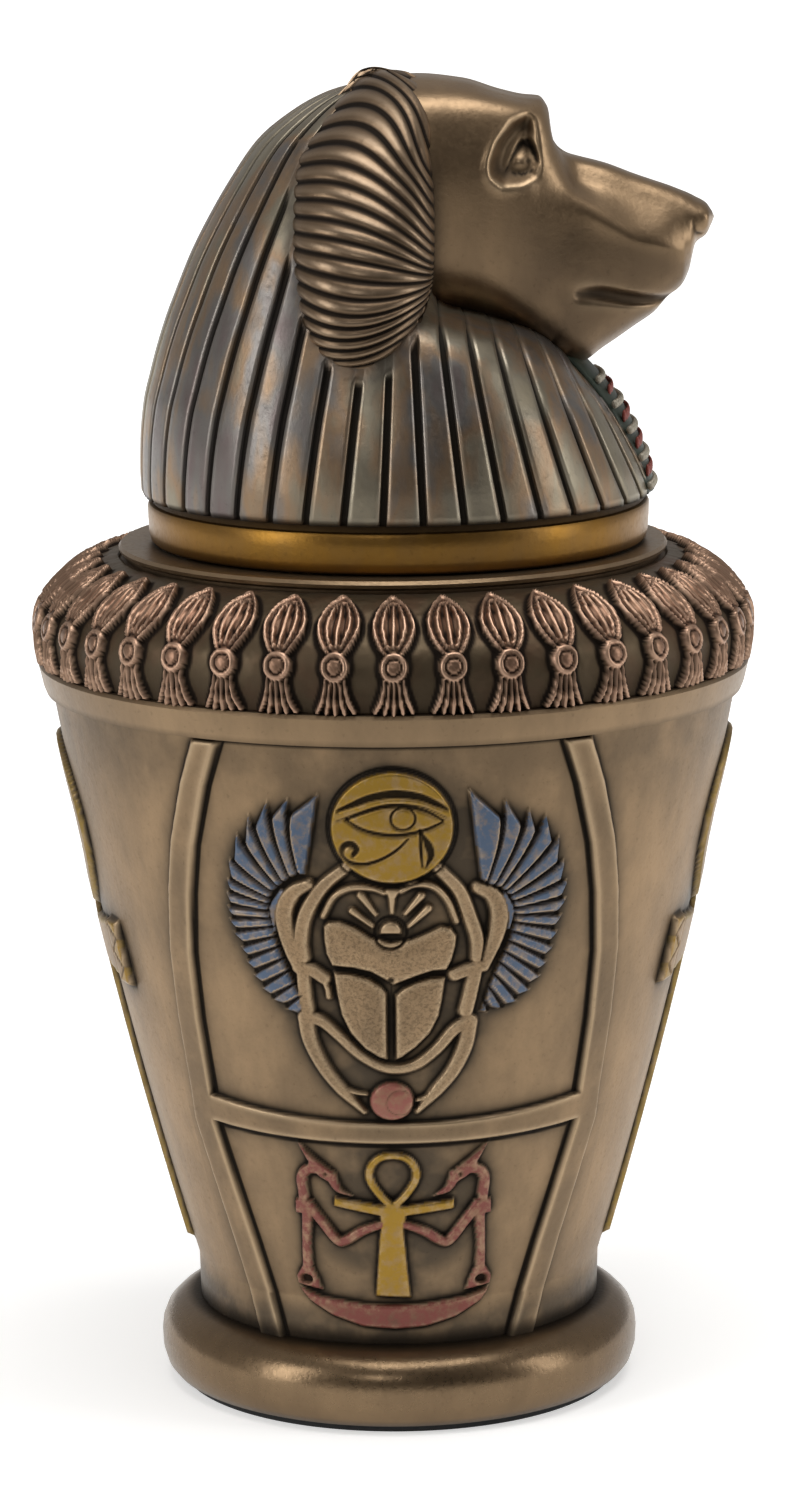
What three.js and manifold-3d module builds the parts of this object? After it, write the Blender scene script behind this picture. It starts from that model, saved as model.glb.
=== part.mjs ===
// A canopic jar with a baboon-headed lid, cast in bronze-finished resin.
// Millimetres, +Z up, origin at the centre of the underside. The head looks along +X and the two
// scarab panels face -Y and +Y, with a large ankh on +X and on -X.
import * as THREE from "three";
import { mergeVertices } from "three/addons/utils/BufferGeometryUtils.js";
import Module from "manifold-3d";

const wasm = await Module();
wasm.setup();

// ---- driving dimensions ----
const padThickness = 0.8; // felt under the foot
const padRadius = 30.3;
const footRadius = 33; // at the fullest part of the ring
const neckRadius = 27.6; // just above the foot
const wallBottom = { z: 17.3, radius: 27.75 };
const wallTop = { z: 97, radius: 46.5 };
const wallBulge = 1.1; // how far the wall stands outside a straight cone, half way up
const wallThickness = 5;
const floorTop = 16; // inside bottom of the jar
const bandTop = { z: 100.7, radius: 48.4 }; // plain band under the buds
const rimTop = 116.8;
const rimRadius = 37.2;
const mouthRadius = 29.5;
const relief = 0.9; // frames, scarab and ankhs stand this far out of the wall
const budCount = 40;
const aroundJar = 32; // facets around the turned forms

const lidOffset = 0.8; // the lid sits this far towards +X in its clearance
const seatGap = 0.3; // between the rim and the lid's gold band
const spigotRadius = 28.2;
const spigotDepth = 4;
const goldBandTop = 122.4;
const goldBandRadius = 34;
const stripCount = 42; // flat strips around the wig
const stripGroove = 0.5; // depth of the groove between strips
const stripPhase = THREE.MathUtils.degToRad(5.1); // of one groove, from -Y towards +X

// ---- helpers ----
const v2 = (x, y) => new THREE.Vector2(x, y);

// A closed three.js geometry as a solid.
function solid(geometry) {
  const bare = new THREE.BufferGeometry().setAttribute("position", geometry.getAttribute("position"));
  bare.setIndex(geometry.index);
  const merged = mergeVertices(bare, 1e-4);
  const index = merged.index.array;
  return new wasm.Manifold(
    new wasm.Mesh({
      numProp: 3,
      vertProperties: new Float32Array(merged.attributes.position.array),
      triVerts: new Uint32Array(index),
    }),
  );
}

function join(solids) {
  return solids.reduce((whole, next) => whole.add(next));
}

function geometryOf(made) {
  const mesh = made.getMesh();
  const geometry = new THREE.BufferGeometry();
  geometry.setAttribute("position", new THREE.BufferAttribute(new Float32Array(mesh.vertProperties), 3));
  geometry.setIndex(new THREE.BufferAttribute(new Uint32Array(mesh.triVerts), 1));
  geometry.computeVertexNormals();
  return geometry;
}

// A form turned about Z from (radius, z) points, listed from the underside outwards and up.
function turned(points, around = aroundJar) {
  const geometry = new THREE.LatheGeometry(points.map(([r, z]) => v2(r, z)), around);
  return geometry.rotateX(Math.PI / 2);
}

// A closed body from rings of points, each ring running the same way, with flat fans on both ends.
function lofted(rings) {
  const around = rings[0].length;
  const position = rings.flat(2);
  const index = [];
  for (let row = 0; row + 1 < rings.length; row += 1) {
    for (let i = 0; i < around; i += 1) {
      const a = row * around + i;
      const b = row * around + ((i + 1) % around);
      index.push(a, b, b + around, a, b + around, a + around);
    }
  }
  for (const [row, flip] of [[0, true], [rings.length - 1, false]]) {
    const ring = rings[row];
    const centre = position.length / 3;
    for (const axis of [0, 1, 2]) {
      position.push(ring.reduce((sum, point) => sum + point[axis], 0) / around);
    }
    for (let i = 0; i < around; i += 1) {
      const a = row * around + i;
      const b = row * around + ((i + 1) % around);
      index.push(...(flip ? [b, a, centre] : [a, b, centre]));
    }
  }
  const geometry = new THREE.BufferGeometry();
  geometry.setAttribute("position", new THREE.Float32BufferAttribute(position, 3));
  geometry.setIndex(index);
  return geometry;
}

function wallRadius(z) {
  const u = (z - wallBottom.z) / (wallTop.z - wallBottom.z);
  return THREE.MathUtils.lerp(wallBottom.radius, wallTop.radius, u) + 4 * wallBulge * u * (1 - u);
}

// Across the front of the wall, the plain x of a point that lies `arc` mm round from the middle.
const acrossWall = (arc, z) => wallRadius(z) * Math.sin(arc / wallRadius(z));

// ---- jar ----
const wallLevels = [43, 70];

// The shoulder under a lotus bud, from the leaf's tip down to the tassel's end.
const budPath = [
  { radius: 40.4, z: 114.4 },
  { radius: 46.5, z: 110.2 },
  { radius: 48, z: 105.6 },
  { radius: 47.4, z: 101.6 },
];

function jarBody() {
  const foot = [
    [0, padThickness],
    [30.6, padThickness],
    [32.3, 2.8],
    [footRadius, 6],
    [32.6, 9],
    [30.8, 11.6],
    [neckRadius, 13],
    [wallBottom.radius, wallBottom.z],
  ];
  const wall = wallLevels.map((z) => [wallRadius(z), z]);
  const shoulder = [
    [wallTop.radius, wallTop.z],
    [bandTop.radius - 1, wallTop.z],
    [bandTop.radius, bandTop.z],
    [bandTop.radius - 1.2, bandTop.z + 0.6],
    ...budPath.slice(1, -1).map(({ radius, z }) => [radius, z]).reverse(),
    [rimRadius - 0.9, 115.3],
    [rimRadius, rimTop - 0.8],
    [rimRadius - 0.4, rimTop],
    [mouthRadius, rimTop],
  ];
  const inside = [
    [mouthRadius, 111.6],
    [37, 109.4],
    [wallRadius(104) - wallThickness - 0.6, 102],
    [wallRadius(57) - wallThickness, 57],
    [22.4, floorTop + 2],
    [20.5, floorTop],
    [0, floorTop],
  ];
  return solid(turned([...foot, ...wall, ...shoulder, ...inside]));
}

// One lotus bud as a ridged strip down the shoulder: an almond leaf, a waist, a rosette and a flared
// tassel. Each section has its half width and how far its ridge stands out.
const budSections = [
  { at: 0, half: 0.3, height: 0.2 },
  { at: 0.36, half: 2.5, height: 1.3 },
  { at: 0.6, half: 1, height: 1 },
  { at: 0.72, half: 1.8, height: 1.5 },
  { at: 1, half: 2.5, height: 1.2 },
];

function lotusBud(turn) {
  const path = new THREE.CurvePath();
  budPath.slice(1).forEach((point, i) => {
    path.add(new THREE.LineCurve(v2(budPath[i].radius, budPath[i].z), v2(point.radius, point.z)));
  });
  const sunk = 0.8;
  const rings = budSections.map(({ at, half, height }) => {
    const centre = path.getPoint(at);
    const along = path.getPoint(Math.min(1, at + 0.05)).sub(path.getPoint(Math.max(0, at - 0.05))).normalize();
    const out = v2(-along.y, along.x);
    const place = (side, up) => {
      const radius = centre.x + out.x * up;
      return [radius * Math.cos(turn) - side * Math.sin(turn), radius * Math.sin(turn) + side * Math.cos(turn),
        centre.y + out.y * up];
    };
    return [place(-half, -sunk), place(half, -sunk), place(0, height)];
  });
  return solid(lofted(rings));
}

function budRing() {
  return Array.from({ length: budCount }, (_, i) => lotusBud((2 * Math.PI * i) / budCount));
}

// A shell around the wall, out to the relief's height, which every raised outline is trimmed to.
function reliefShell(height) {
  const sunk = 2; // how far it reaches into the wall
  const levels = [11, ...wallLevels, wallTop.z];
  const radiusAt = (z) => wallRadius(Math.max(z, wallBottom.z));
  const outside = levels.map((z) => [radiusAt(z) + height, z]);
  const inside = levels.map((z) => [radiusAt(z) - sunk, z]).reverse();
  return solid(turned([...outside, ...inside, outside[0]]));
}

// Outlines drawn across the front of the jar, in (x, z), pushed through the wall.
function outlines(shapes) {
  const depth = 2 * bandTop.radius;
  return join(shapes.map((shape) => {
    return solid(new THREE.ExtrudeGeometry(shape, { depth, bevelEnabled: false }).rotateX(Math.PI / 2));
  }));
}

const mirrored = (points) => points.map(([x, z]) => [-x, z]).reverse();
const shapeOf = (points) => new THREE.Shape(points.map(([x, z]) => v2(x, z)));

// A band of constant width along a curve of (x, z) points.
function ribbon(points, width, steps = 8) {
  const curve = new THREE.SplineCurve(points.map(([x, z]) => v2(x, z)));
  const left = [];
  const right = [];
  for (let i = 0; i <= steps; i += 1) {
    const at = curve.getPoint(i / steps);
    const along = curve.getTangent(i / steps);
    const out = v2(-along.y, along.x).multiplyScalar(width / 2);
    left.push([at.x + out.x, at.y + out.y]);
    right.unshift([at.x - out.x, at.y - out.y]);
  }
  return shapeOf([...right, ...left]);
}

// The frame round a scarab panel: two bowed uprights from the band down to the foot, and a crossbar.
function frame() {
  const upright = [[25.2, 97], [29.8, 80], [30.8, 65], [29.4, 50], [26.4, 36], [17.8, 11.6]]
    .map(([arc, z]) => [acrossWall(arc, z), z]);
  const crossbar = [[-27, 44.2], [0, 42.7], [27, 44.2]];
  return [
    ribbon(upright, 3.8, 5),
    ribbon(mirrored(upright), 3.8, 5),
    ribbon(crossbar, 3.5, 2),
  ];
}

function ellipseShape(x, z, rx, rz, points = 10) {
  const outline = Array.from({ length: points }, (_, i) => {
    const turn = (2 * Math.PI * i) / points;
    return [x + rx * Math.cos(turn), z + rz * Math.sin(turn)];
  });
  return shapeOf(outline);
}

// The winged scarab under its disc, with the ball between its hind legs. The hidden side has no legs.
function scarab(legs) {
  const wing = [[9.4, 91], [17.2, 89.2], [22, 81], [22.3, 72], [15.2, 60], [12.4, 63], [15.4, 76], [11.8, 79.6]];
  const body = [[7.6, 73.4], [8.6, 66], [7.8, 60], [4.8, 54.6], [0, 52.2]];
  const thorax = [...body, ...mirrored(body).slice(1), [-4, 72.4], [0, 70.8], [4, 72.4]];
  const foreleg = [[6, 80.4], [11.6, 74.4], [11.2, 67.4]];
  const hindLeg = [[10.8, 58], [8.4, 51], [2.6, 46.6]];
  const both = (points) => [ribbon(points, 2, 2), ribbon(mirrored(points), 2, 2)];
  return [
    ellipseShape(0, 86, 8, 7.7),
    shapeOf(wing),
    shapeOf(mirrored(wing)),
    shapeOf(thorax),
    ellipseShape(0, 72.6, 2.4, 3.2, 8),
    ...(legs ? [...both(foreleg), ...both(hindLeg)] : []),
    ellipseShape(0, 47.5, 3, 3, 10),
  ];
}

// An ankh: an open loop, two arms and a stem, each flaring outwards.
function ankh({ loop, arm, stem }) {
  const ring = ellipseShape(0, loop.z, loop.rx, loop.rz);
  ring.holes.push(ellipseShape(0, loop.z + 0.2, loop.rx - loop.width, loop.rz - loop.width, 6));
  const armShape = [[-1, arm.z - arm.near], [arm.reach, arm.z - arm.far]]
    .concat([[arm.reach, arm.z + arm.far], [-1, arm.z + arm.near]]);
  const stemShape = [[-stem.low, stem.bottom], [stem.low, stem.bottom], [stem.high, arm.z], [-stem.high, arm.z]];
  return [ring, shapeOf(armShape), shapeOf(mirrored(armShape)), shapeOf(stemShape)];
}

// The lower panel: a small ankh between two bird-headed staffs, over a boat-shaped basket. The hidden
// side has the ankh and the basket only.
function lowerPanel(staffs) {
  const staff = [[12.9, 21], [12.2, 30], [12.6, 36.5], [10.6, 38], [9, 37], [5.8, 33.8]];
  const basket = [[13.4, 19], [6, 18], [-6, 18], [-13.4, 19], [-9, 15.6], [0, 14.2], [9, 15.6]].reverse();
  return [
    ...ankh({
      loop: { z: 35.8, rx: 3.8, rz: 4.3, width: 1.3 },
      arm: { z: 31.2, near: 0.7, far: 0.9, reach: 8.2 },
      stem: { low: 2.4, high: 1.4, bottom: 17.6 },
    }),
    ...(staffs ? [ribbon(staff, 1.5, 5), ribbon(mirrored(staff), 1.5, 5)] : []),
    shapeOf(basket),
  ];
}

function sideAnkh() {
  return ankh({
    loop: { z: 79, rx: 11.5, rz: 11.5, width: 3.4 },
    arm: { z: 63, near: 3, far: 4.6, reach: 16.5 },
    stem: { low: 4.6, high: 3, bottom: 20.5 },
  });
}

function jar() {
  const shell = reliefShell(relief);
  const panel = (full) => outlines([...frame(), ...scarab(full), ...lowerPanel(full)]).intersect(shell);
  const side = outlines(sideAnkh()).intersect(shell);
  const turn = (made, quarter) => solid(geometryOf(made).rotateZ((quarter * Math.PI) / 2));
  const raised = [panel(true), turn(panel(false), 2), turn(side, 1), turn(side, 3)];
  return join([jarBody(), ...budRing(), ...raised]);
}

// ---- lid ----
// Level sections of the wig: height, reach back, reach forward and half width from the lid's axis.
const wigSections = [
  [123.4, 34.7, 34.4, 34.7],
  [131, 34.9, 31.4, 34.3],
  [141, 33.1, 23.8, 31.2],
  [151, 29.8, 10, 27],
  [161, 25.2, 5.6, 23],
  [171, 18.2, 3.6, 16.4],
  [178.8, 7, 0, 6],
];

function wig() {
  const rings = wigSections.map(([z, back, forward, half]) => {
    const centre = (forward - back) / 2;
    const length = (forward + back) / 2;
    return Array.from({ length: 2 * stripCount }, (_, i) => {
      const turn = -Math.PI / 2 + stripPhase + (Math.PI * i) / stripCount;
      const sunk = i % 2 === 0 ? stripGroove * Math.min(1, half / 20) : 0;
      return [centre + (length - sunk) * Math.cos(turn), (half - sunk) * Math.sin(turn), z];
    });
  });
  return solid(lofted(rings));
}

// Upright sections of the head, from behind the brow to the nose: x, top, bottom and half width.
const headSections = [
  [-8, 178.2, 153, 12],
  [3, 179.4, 150.2, 14],
  [9, 178.7, 150, 13.6],
  [14, 177.2, 149, 12.2],
  [18.6, 176.4, 147, 10],
  [20.7, 173.6, 145.2, 9],
  [21.6, 169.6, 143.8, 8.8],
  [25, 168.4, 141.9, 8.6],
  [30, 166.8, 144.2, 8.3],
  [35.2, 164.9, 148.6, 7.8],
  [38.4, 163.7, 151.8, 6.8],
  [40.3, 162.9, 156.2, 5.2],
  [42.2, 161.4, 158.6, 2.8],
];

function head() {
  const around = 16;
  const squareness = 0.85; // below 1 the sections are fuller than an ellipse
  const rings = headSections.map(([x, top, bottom, half]) => {
    return Array.from({ length: around }, (_, i) => {
      const turn = (2 * Math.PI * i) / around;
      const full = (value) => Math.sign(value) * Math.abs(value) ** squareness;
      const z = (top + bottom) / 2 + ((top - bottom) / 2) * full(Math.sin(turn));
      return [x, half * full(Math.cos(turn)), z];
    });
  });
  return solid(lofted(rings));
}

const ball = (x, y, z, rx, ry, rz, wide = 10, high = 7) => {
  return solid(new THREE.SphereGeometry(1, wide, high).rotateX(Math.PI / 2).scale(rx, ry, rz).translate(x, y, z));
};

const rollCentre = { x: -4.4, y: 16.4, z: 161.7 };
const rollReach = { x: 9.5, y: 10.8, z: 19.2 };
const rollLean = 11.2; // the rolls all but meet over the crown, and their lower ends stand this much further out

// The roll of hair over one ear: a bulging crescent crossed by ribs. `side` is -1 or 1.
function hairRoll(side) {
  const ribs = 8;
  const around = 8;
  const rows = 3 * ribs;
  const rings = Array.from({ length: rows + 1 }, (_, row) => {
    const down = -1 + (2 * (row + 0.5)) / (rows + 1);
    const wide = Math.sqrt(1 - down * down);
    const sunk = row % 3 === 0 ? 0.8 * wide : 0;
    return Array.from({ length: around }, (_, i) => {
      const turn = (2 * Math.PI * i) / around;
      const x = rollCentre.x + (rollReach.x * wide - sunk) * Math.cos(turn);
      const y = side * (rollCentre.y - rollLean * down) + (rollReach.y * wide - sunk) * Math.sin(turn);
      return [x, y, rollCentre.z + rollReach.z * down];
    });
  });
  return solid(lofted(rings));
}

function mouthSlit() {
  const lips = shapeOf([[23.4, 150.4], [25.4, 149], [33.4, 148.9], [40, 149.2], [40, 150.2], [26, 151.2]]);
  return solid(new THREE.ExtrudeGeometry(lips, { depth: 20, bevelEnabled: false }).rotateX(Math.PI / 2)
    .translate(0, 10, 0));
}

function lid() {
  const bottom = rimTop + seatGap;
  const base = solid(turned([
    [0, bottom - spigotDepth],
    [spigotRadius - 0.5, bottom - spigotDepth],
    [spigotRadius, bottom - spigotDepth + 0.5],
    [spigotRadius, bottom],
    [goldBandRadius - 0.5, bottom],
    [goldBandRadius - 0.1, bottom + 2],
    [goldBandRadius, goldBandTop],
    [goldBandRadius - 0.7, goldBandTop + 0.3],
    [goldBandRadius - 0.7, goldBandTop + 1.4],
    [0, goldBandTop + 1.4],
  ]));
  const sides = [-1, 1].flatMap((side) => [
    hairRoll(side),
    ball(17.2, side * 6.2, 174, 3, 4.6, 2.2),
    ball(16.4, side * 9, 169.2, 2.2, 1.8, 1.7),
  ]);
  const slit = mouthSlit();
  const face = head().subtract(slit);
  return join([base, wig(), face, ...sides]);
}

// ---- assembly ----
function named(name, geometry, colour, metalness, roughness) {
  const material = new THREE.MeshStandardMaterial({ color: colour, metalness, roughness });
  const mesh = new THREE.Mesh(geometry, material);
  mesh.name = name;
  return mesh;
}

const canopicJar = new THREE.Group();
canopicJar.add(named("jar", geometryOf(jar()), "#94826a", 0.6, 0.45));

const lidMesh = named("lid", geometryOf(lid()), "#8a8078", 0.6, 0.4);
lidMesh.position.x = lidOffset;
canopicJar.add(lidMesh);

const pad = turned([[0, 0], [padRadius, 0], [padRadius, padThickness], [0, padThickness]]);
canopicJar.add(named("felt_pad", pad, "#1b1a19", 0, 0.95));

export default canopicJar;
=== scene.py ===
import math

import bpy
import numpy as np
from mathutils import Euler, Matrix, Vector


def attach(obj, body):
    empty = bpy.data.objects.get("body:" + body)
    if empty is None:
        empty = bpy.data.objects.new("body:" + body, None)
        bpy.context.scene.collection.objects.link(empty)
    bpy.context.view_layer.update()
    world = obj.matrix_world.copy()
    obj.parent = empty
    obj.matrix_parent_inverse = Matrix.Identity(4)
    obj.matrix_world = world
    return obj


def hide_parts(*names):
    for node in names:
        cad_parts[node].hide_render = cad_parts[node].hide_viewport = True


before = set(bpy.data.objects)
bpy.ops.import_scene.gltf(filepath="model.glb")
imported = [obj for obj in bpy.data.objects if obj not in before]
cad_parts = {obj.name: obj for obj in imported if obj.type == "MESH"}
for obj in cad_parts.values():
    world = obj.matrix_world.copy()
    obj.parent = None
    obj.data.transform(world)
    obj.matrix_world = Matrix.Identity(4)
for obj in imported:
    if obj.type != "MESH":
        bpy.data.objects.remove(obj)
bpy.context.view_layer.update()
mm = 0.001


studio = {
    "cameraPlace": (0.0002, -0.701, 0.2235),
    "cameraPitch": 10.978,   # degrees down
    "cameraRoll": -0.474,
    "lens": 125.1,
    "lampTarget": (0, 0, 0.09),
    "floorHalf": 6.0,
    "floorColour": (0.82, 0.82, 0.81, 1),
    # how much the paper glows by itself: from, to, and the glow added between them
    "floorGlow": ((-0.16, -0.05, 0.5), (0.1, 0.9, 0.5)),
    "worldFront": (0.05, 0.046, 0.042, 1),
    "worldSides": (0.40, 0.39, 0.38, 1),
    "worldTurn": (-0.95, 0.15),
    # name: place, size, watts
    "lights": {
        "leftBox": ((-1.2, -0.75, 0.55), (0.4, 1.1), 7.0),
        "rightBox": ((1.25, -0.3, 0.45), (0.35, 1.0), 4.0),
        "topBox": ((0.1, -0.2, 1.3), (0.9, 0.6), 8.0),
        "frontFill": ((-0.3, -1.5, 0.95), (0.3, 0.25), 1.6),
    },
}


def newObject(name, data):
    made = bpy.data.objects.new(name, data)
    bpy.context.scene.collection.objects.link(made)
    return made


def feed(tree, node, inputs):
    # inputs: each by name or number, with its value or the socket that feeds it
    for key, value in inputs.items():
        if isinstance(value, bpy.types.NodeSocket):
            tree.links.new(value, node.inputs[key])
        else:
            node.inputs[key].default_value = value


def addNode(tree, kind, inputs=None, **settings):
    node = tree.nodes.new(kind)
    for key, value in settings.items():
        setattr(node, key, value)
    feed(tree, node, inputs or {})
    return node


def plus(tree, first, second, clamp=False, operation="ADD"):
    node = addNode(tree, "ShaderNodeMath", {0: first, 1: second}, operation=operation, use_clamp=clamp)
    return node.outputs[0]


def times(tree, first, second, clamp=False):
    return plus(tree, first, second, clamp, "MULTIPLY")


def minus(tree, first, second, clamp=False):
    return plus(tree, first, second, clamp, "SUBTRACT")


def mixColour(tree, factor, first, second):
    return addNode(tree, "ShaderNodeMix", {0: factor, 6: first, 7: second}, data_type="RGBA").outputs[2]


def easedRange(tree, value, start, end, high=1.0):
    inputs = {"Value": value, "From Min": start, "From Max": end, "To Max": high}
    return addNode(tree, "ShaderNodeMapRange", inputs, interpolation_type="SMOOTHSTEP").outputs["Result"]


def placeOutput(tree, kind):
    return addNode(tree, "ShaderNodeTexCoord").outputs[kind]


def setStudio():
    camera = newObject("studioCamera", bpy.data.cameras.new("studioCamera"))
    camera.location = studio["cameraPlace"]
    tilt = Euler((math.radians(90 - studio["cameraPitch"]), 0, 0)).to_matrix()
    roll = Euler((0, 0, math.radians(studio["cameraRoll"]))).to_matrix()
    camera.rotation_euler = (tilt @ roll).to_euler()
    camera.data.lens = studio["lens"]
    camera.data.sensor_width = 36
    camera.data.clip_start = 0.02
    bpy.context.scene.camera = camera
    for name, (place, size, watts) in studio["lights"].items():
        light = bpy.data.lights.new(name, "AREA")
        light.shape = "RECTANGLE"
        light.size, light.size_y = size
        light.energy = watts
        lamp = newObject(name, light)
        lamp.location = place
        aim = Vector(studio["lampTarget"]) - Vector(place)
        lamp.rotation_euler = aim.to_track_quat("-Z", "Y").to_euler()
    # the surroundings are darker towards the front, paler at the sides, behind and above
    world = bpy.data.worlds.new("studioWorld")
    world.use_nodes = True
    tree = world.node_tree
    direction = addNode(tree, "ShaderNodeSeparateXYZ", {0: placeOutput(tree, "Generated")})
    spread = easedRange(tree, direction.outputs["Y"], *studio["worldTurn"])
    blend = mixColour(tree, spread, studio["worldFront"], studio["worldSides"])
    feed(tree, tree.nodes["Background"], {"Color": blend})
    bpy.context.scene.world = world
    bpy.context.scene.view_settings.view_transform = "Standard"
    half = studio["floorHalf"]
    mesh = bpy.data.meshes.new("studioFloor")
    corners = [(-half, -half, 0), (half, -half, 0), (half, half, 0), (-half, half, 0)]
    mesh.from_pydata(corners, [], [(0, 1, 2, 3)])
    paper = bpy.data.materials.new("studioPaper")
    paper.use_nodes = True
    tree = paper.node_tree
    place = addNode(tree, "ShaderNodeSeparateXYZ", {0: placeOutput(tree, "Object")})
    glows = [easedRange(tree, place.outputs["Y"], *glow) for glow in studio["floorGlow"]]
    feed(tree, tree.nodes["Principled BSDF"], {
        "Base Color": studio["floorColour"], "Roughness": 0.9, "Emission Color": (1, 1, 1, 1),
        "Emission Strength": plus(tree, *glows),
    })
    mesh.materials.append(paper)
    floor = newObject("studioFloor", mesh)


setStudio()
print("studio set")


def noiseNode(tree, vector, scale, detail=3.0, rough=0.55, stretch=None):
    if stretch:
        vector = addNode(tree, "ShaderNodeMapping", {"Scale": stretch, "Vector": vector}).outputs["Vector"]
    inputs = {"Vector": vector, "Scale": scale, "Detail": detail, "Roughness": rough}
    return addNode(tree, "ShaderNodeTexNoise", inputs).outputs["Fac"]


def rampNode(tree, factor, low, high):
    inputs = {"Value": factor, "From Min": low, "From Max": high}
    return addNode(tree, "ShaderNodeMapRange", inputs, clamp=True).outputs["Result"]


def agedMetalGroup():
    # worn cast metal: mottled face, dark recesses, bright rubbed edges, a brown bloom round raised work; the
    # Hollow and Halo masks also carry painted shade, in the Recess and bloom colours
    tree = bpy.data.node_groups.new("agedMetal", "ShaderNodeTree")
    inputs = {
        "Metal": (0.4, 0.3, 0.2, 1), "Rubbed": (0.6, 0.5, 0.35, 1), "BloomAndShade": (0.1, 0.08, 0.06, 1),
        "Recess": (0.02, 0.015, 0.01, 1), "Hollow": 0.0, "Edge": 0.0, "Halo": 0.0, "Stipple": 0.0,
        "Roughness": 0.36,
    }
    for label, value in inputs.items():
        kind = "NodeSocketColor" if isinstance(value, tuple) else "NodeSocketFloat"
        tree.interface.new_socket(label, in_out="INPUT", socket_type=kind).default_value = value
    for label in ("Color", "Roughness", "Height", "DirtAndShade"):
        kind = "NodeSocketColor" if label == "Color" else "NodeSocketFloat"
        tree.interface.new_socket(label, in_out="OUTPUT", socket_type=kind)
    given = addNode(tree, "NodeGroupInput").outputs
    place = placeOutput(tree, "Object")
    cloud = rampNode(tree, noiseNode(tree, place, 38, 4), 0.35, 0.68)
    brushed = rampNode(tree, noiseNode(tree, place, 240, 3, 0.6, (1.0, 1.0, 0.35)), 0.36, 0.66)
    speck = noiseNode(tree, place, 1500, 2, 0.6)
    pits = rampNode(tree, speck, 0.62, 0.74)
    shade = plus(tree, times(tree, cloud, 0.50), times(tree, brushed, 0.36))
    face = mixColour(tree, shade, given["Metal"], mixColour(tree, 0.55, given["Metal"], given["BloomAndShade"]))
    patchy = rampNode(tree, noiseNode(tree, place, 160, 3), 0.1, 0.55)
    halo = times(tree, times(tree, given["Halo"], patchy), 0.9, True)
    face = mixColour(tree, halo, face, given["BloomAndShade"])
    face = mixColour(tree, times(tree, given["Edge"], 0.6, True), face, given["Rubbed"])
    dots = times(tree, rampNode(tree, noiseNode(tree, place, 2400, 2, 0.7), 0.45, 0.66), given["Stipple"])
    dirtAndShade = plus(tree, times(tree, dots, 0.34), times(tree, pits, 0.14), operation="MAXIMUM")
    # the Hollow mask joins the dirt: patina in the hollows, and painted shade where a piece puts it
    dirtAndShade = plus(tree, dirtAndShade, given["Hollow"], operation="MAXIMUM")
    face = mixColour(tree, times(tree, dirtAndShade, 0.96, True), face, given["Recess"])
    rough = plus(tree, given["Roughness"], times(tree, speck, 0.16))
    addNode(tree, "NodeGroupOutput", {
        "Color": face, "Roughness": plus(tree, rough, times(tree, dirtAndShade, 0.3), True),
        "Height": plus(tree, speck, times(tree, dots, -1.6)), "DirtAndShade": dirtAndShade,
    })
    return tree


agedMetal = agedMetalGroup()


def colourAttribute(tree, name):
    return addNode(tree, "ShaderNodeAttribute", attribute_name=name, attribute_type="GEOMETRY").outputs


def separated(tree, colour):
    return addNode(tree, "ShaderNodeSeparateColor", {"Color": colour}).outputs


def metalFinish(name, metal, rubbed, bloomAndShade, recess, roughness=0.34, metallic=0.92, bump=0.05,
                carved=True, painted=False):
    material = bpy.data.materials.new(name)
    material.use_nodes = True
    tree = material.node_tree
    inputs = {"Metal": metal, "Rubbed": rubbed, "BloomAndShade": bloomAndShade, "Recess": recess}
    inputs = {key: value + (1,) for key, value in inputs.items()}
    inputs["Roughness"] = roughness
    if carved:   # red: recess, patina and painted shade; green: edge; blue: bloom and painted shade; alpha: stipple
        marks = colourAttribute(tree, "carving")
        split = separated(tree, marks["Color"])
        inputs.update(Hollow=split["Red"], Edge=split["Green"], Halo=split["Blue"], Stipple=marks["Alpha"])
    aged = addNode(tree, "ShaderNodeGroup", node_tree=agedMetal)
    feed(tree, aged, inputs)
    shader = tree.nodes["Principled BSDF"]
    feed(tree, shader, {"Metallic": metallic})
    colour = aged.outputs["Color"]
    if painted:
        paint = colourAttribute(tree, "paint")
        worn = rampNode(tree, noiseNode(tree, placeOutput(tree, "Object"), 700, 3, 0.65), 0.36, 0.56)
        cover = times(tree, paint["Alpha"], plus(tree, times(tree, worn, 0.5), 0.45), True)
        # paint thins where dirt and painted shade lie
        cover = times(tree, cover, minus(tree, 1.0, times(tree, aged.outputs["DirtAndShade"], 0.95), True))
        colour = mixColour(tree, cover, colour, paint["Color"])
        parts = separated(tree, paint["Color"])
        gilt = minus(tree, parts["Green"], parts["Blue"])   # gold paint stays metallic
        dull = minus(tree, 1.0, rampNode(tree, gilt, 0.03, 0.08), True)
        sheen = times(tree, times(tree, cover, dull), metallic * 0.62)
        feed(tree, shader, {"Metallic": minus(tree, metallic, sheen, True)})
    relief = addNode(tree, "ShaderNodeBump", {
        "Strength": 0.5, "Distance": bump * mm, "Height": aged.outputs["Height"],
    })
    feed(tree, shader, {
        "Base Color": colour, "Roughness": aged.outputs["Roughness"], "Normal": relief.outputs["Normal"],
    })
    return material


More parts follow.
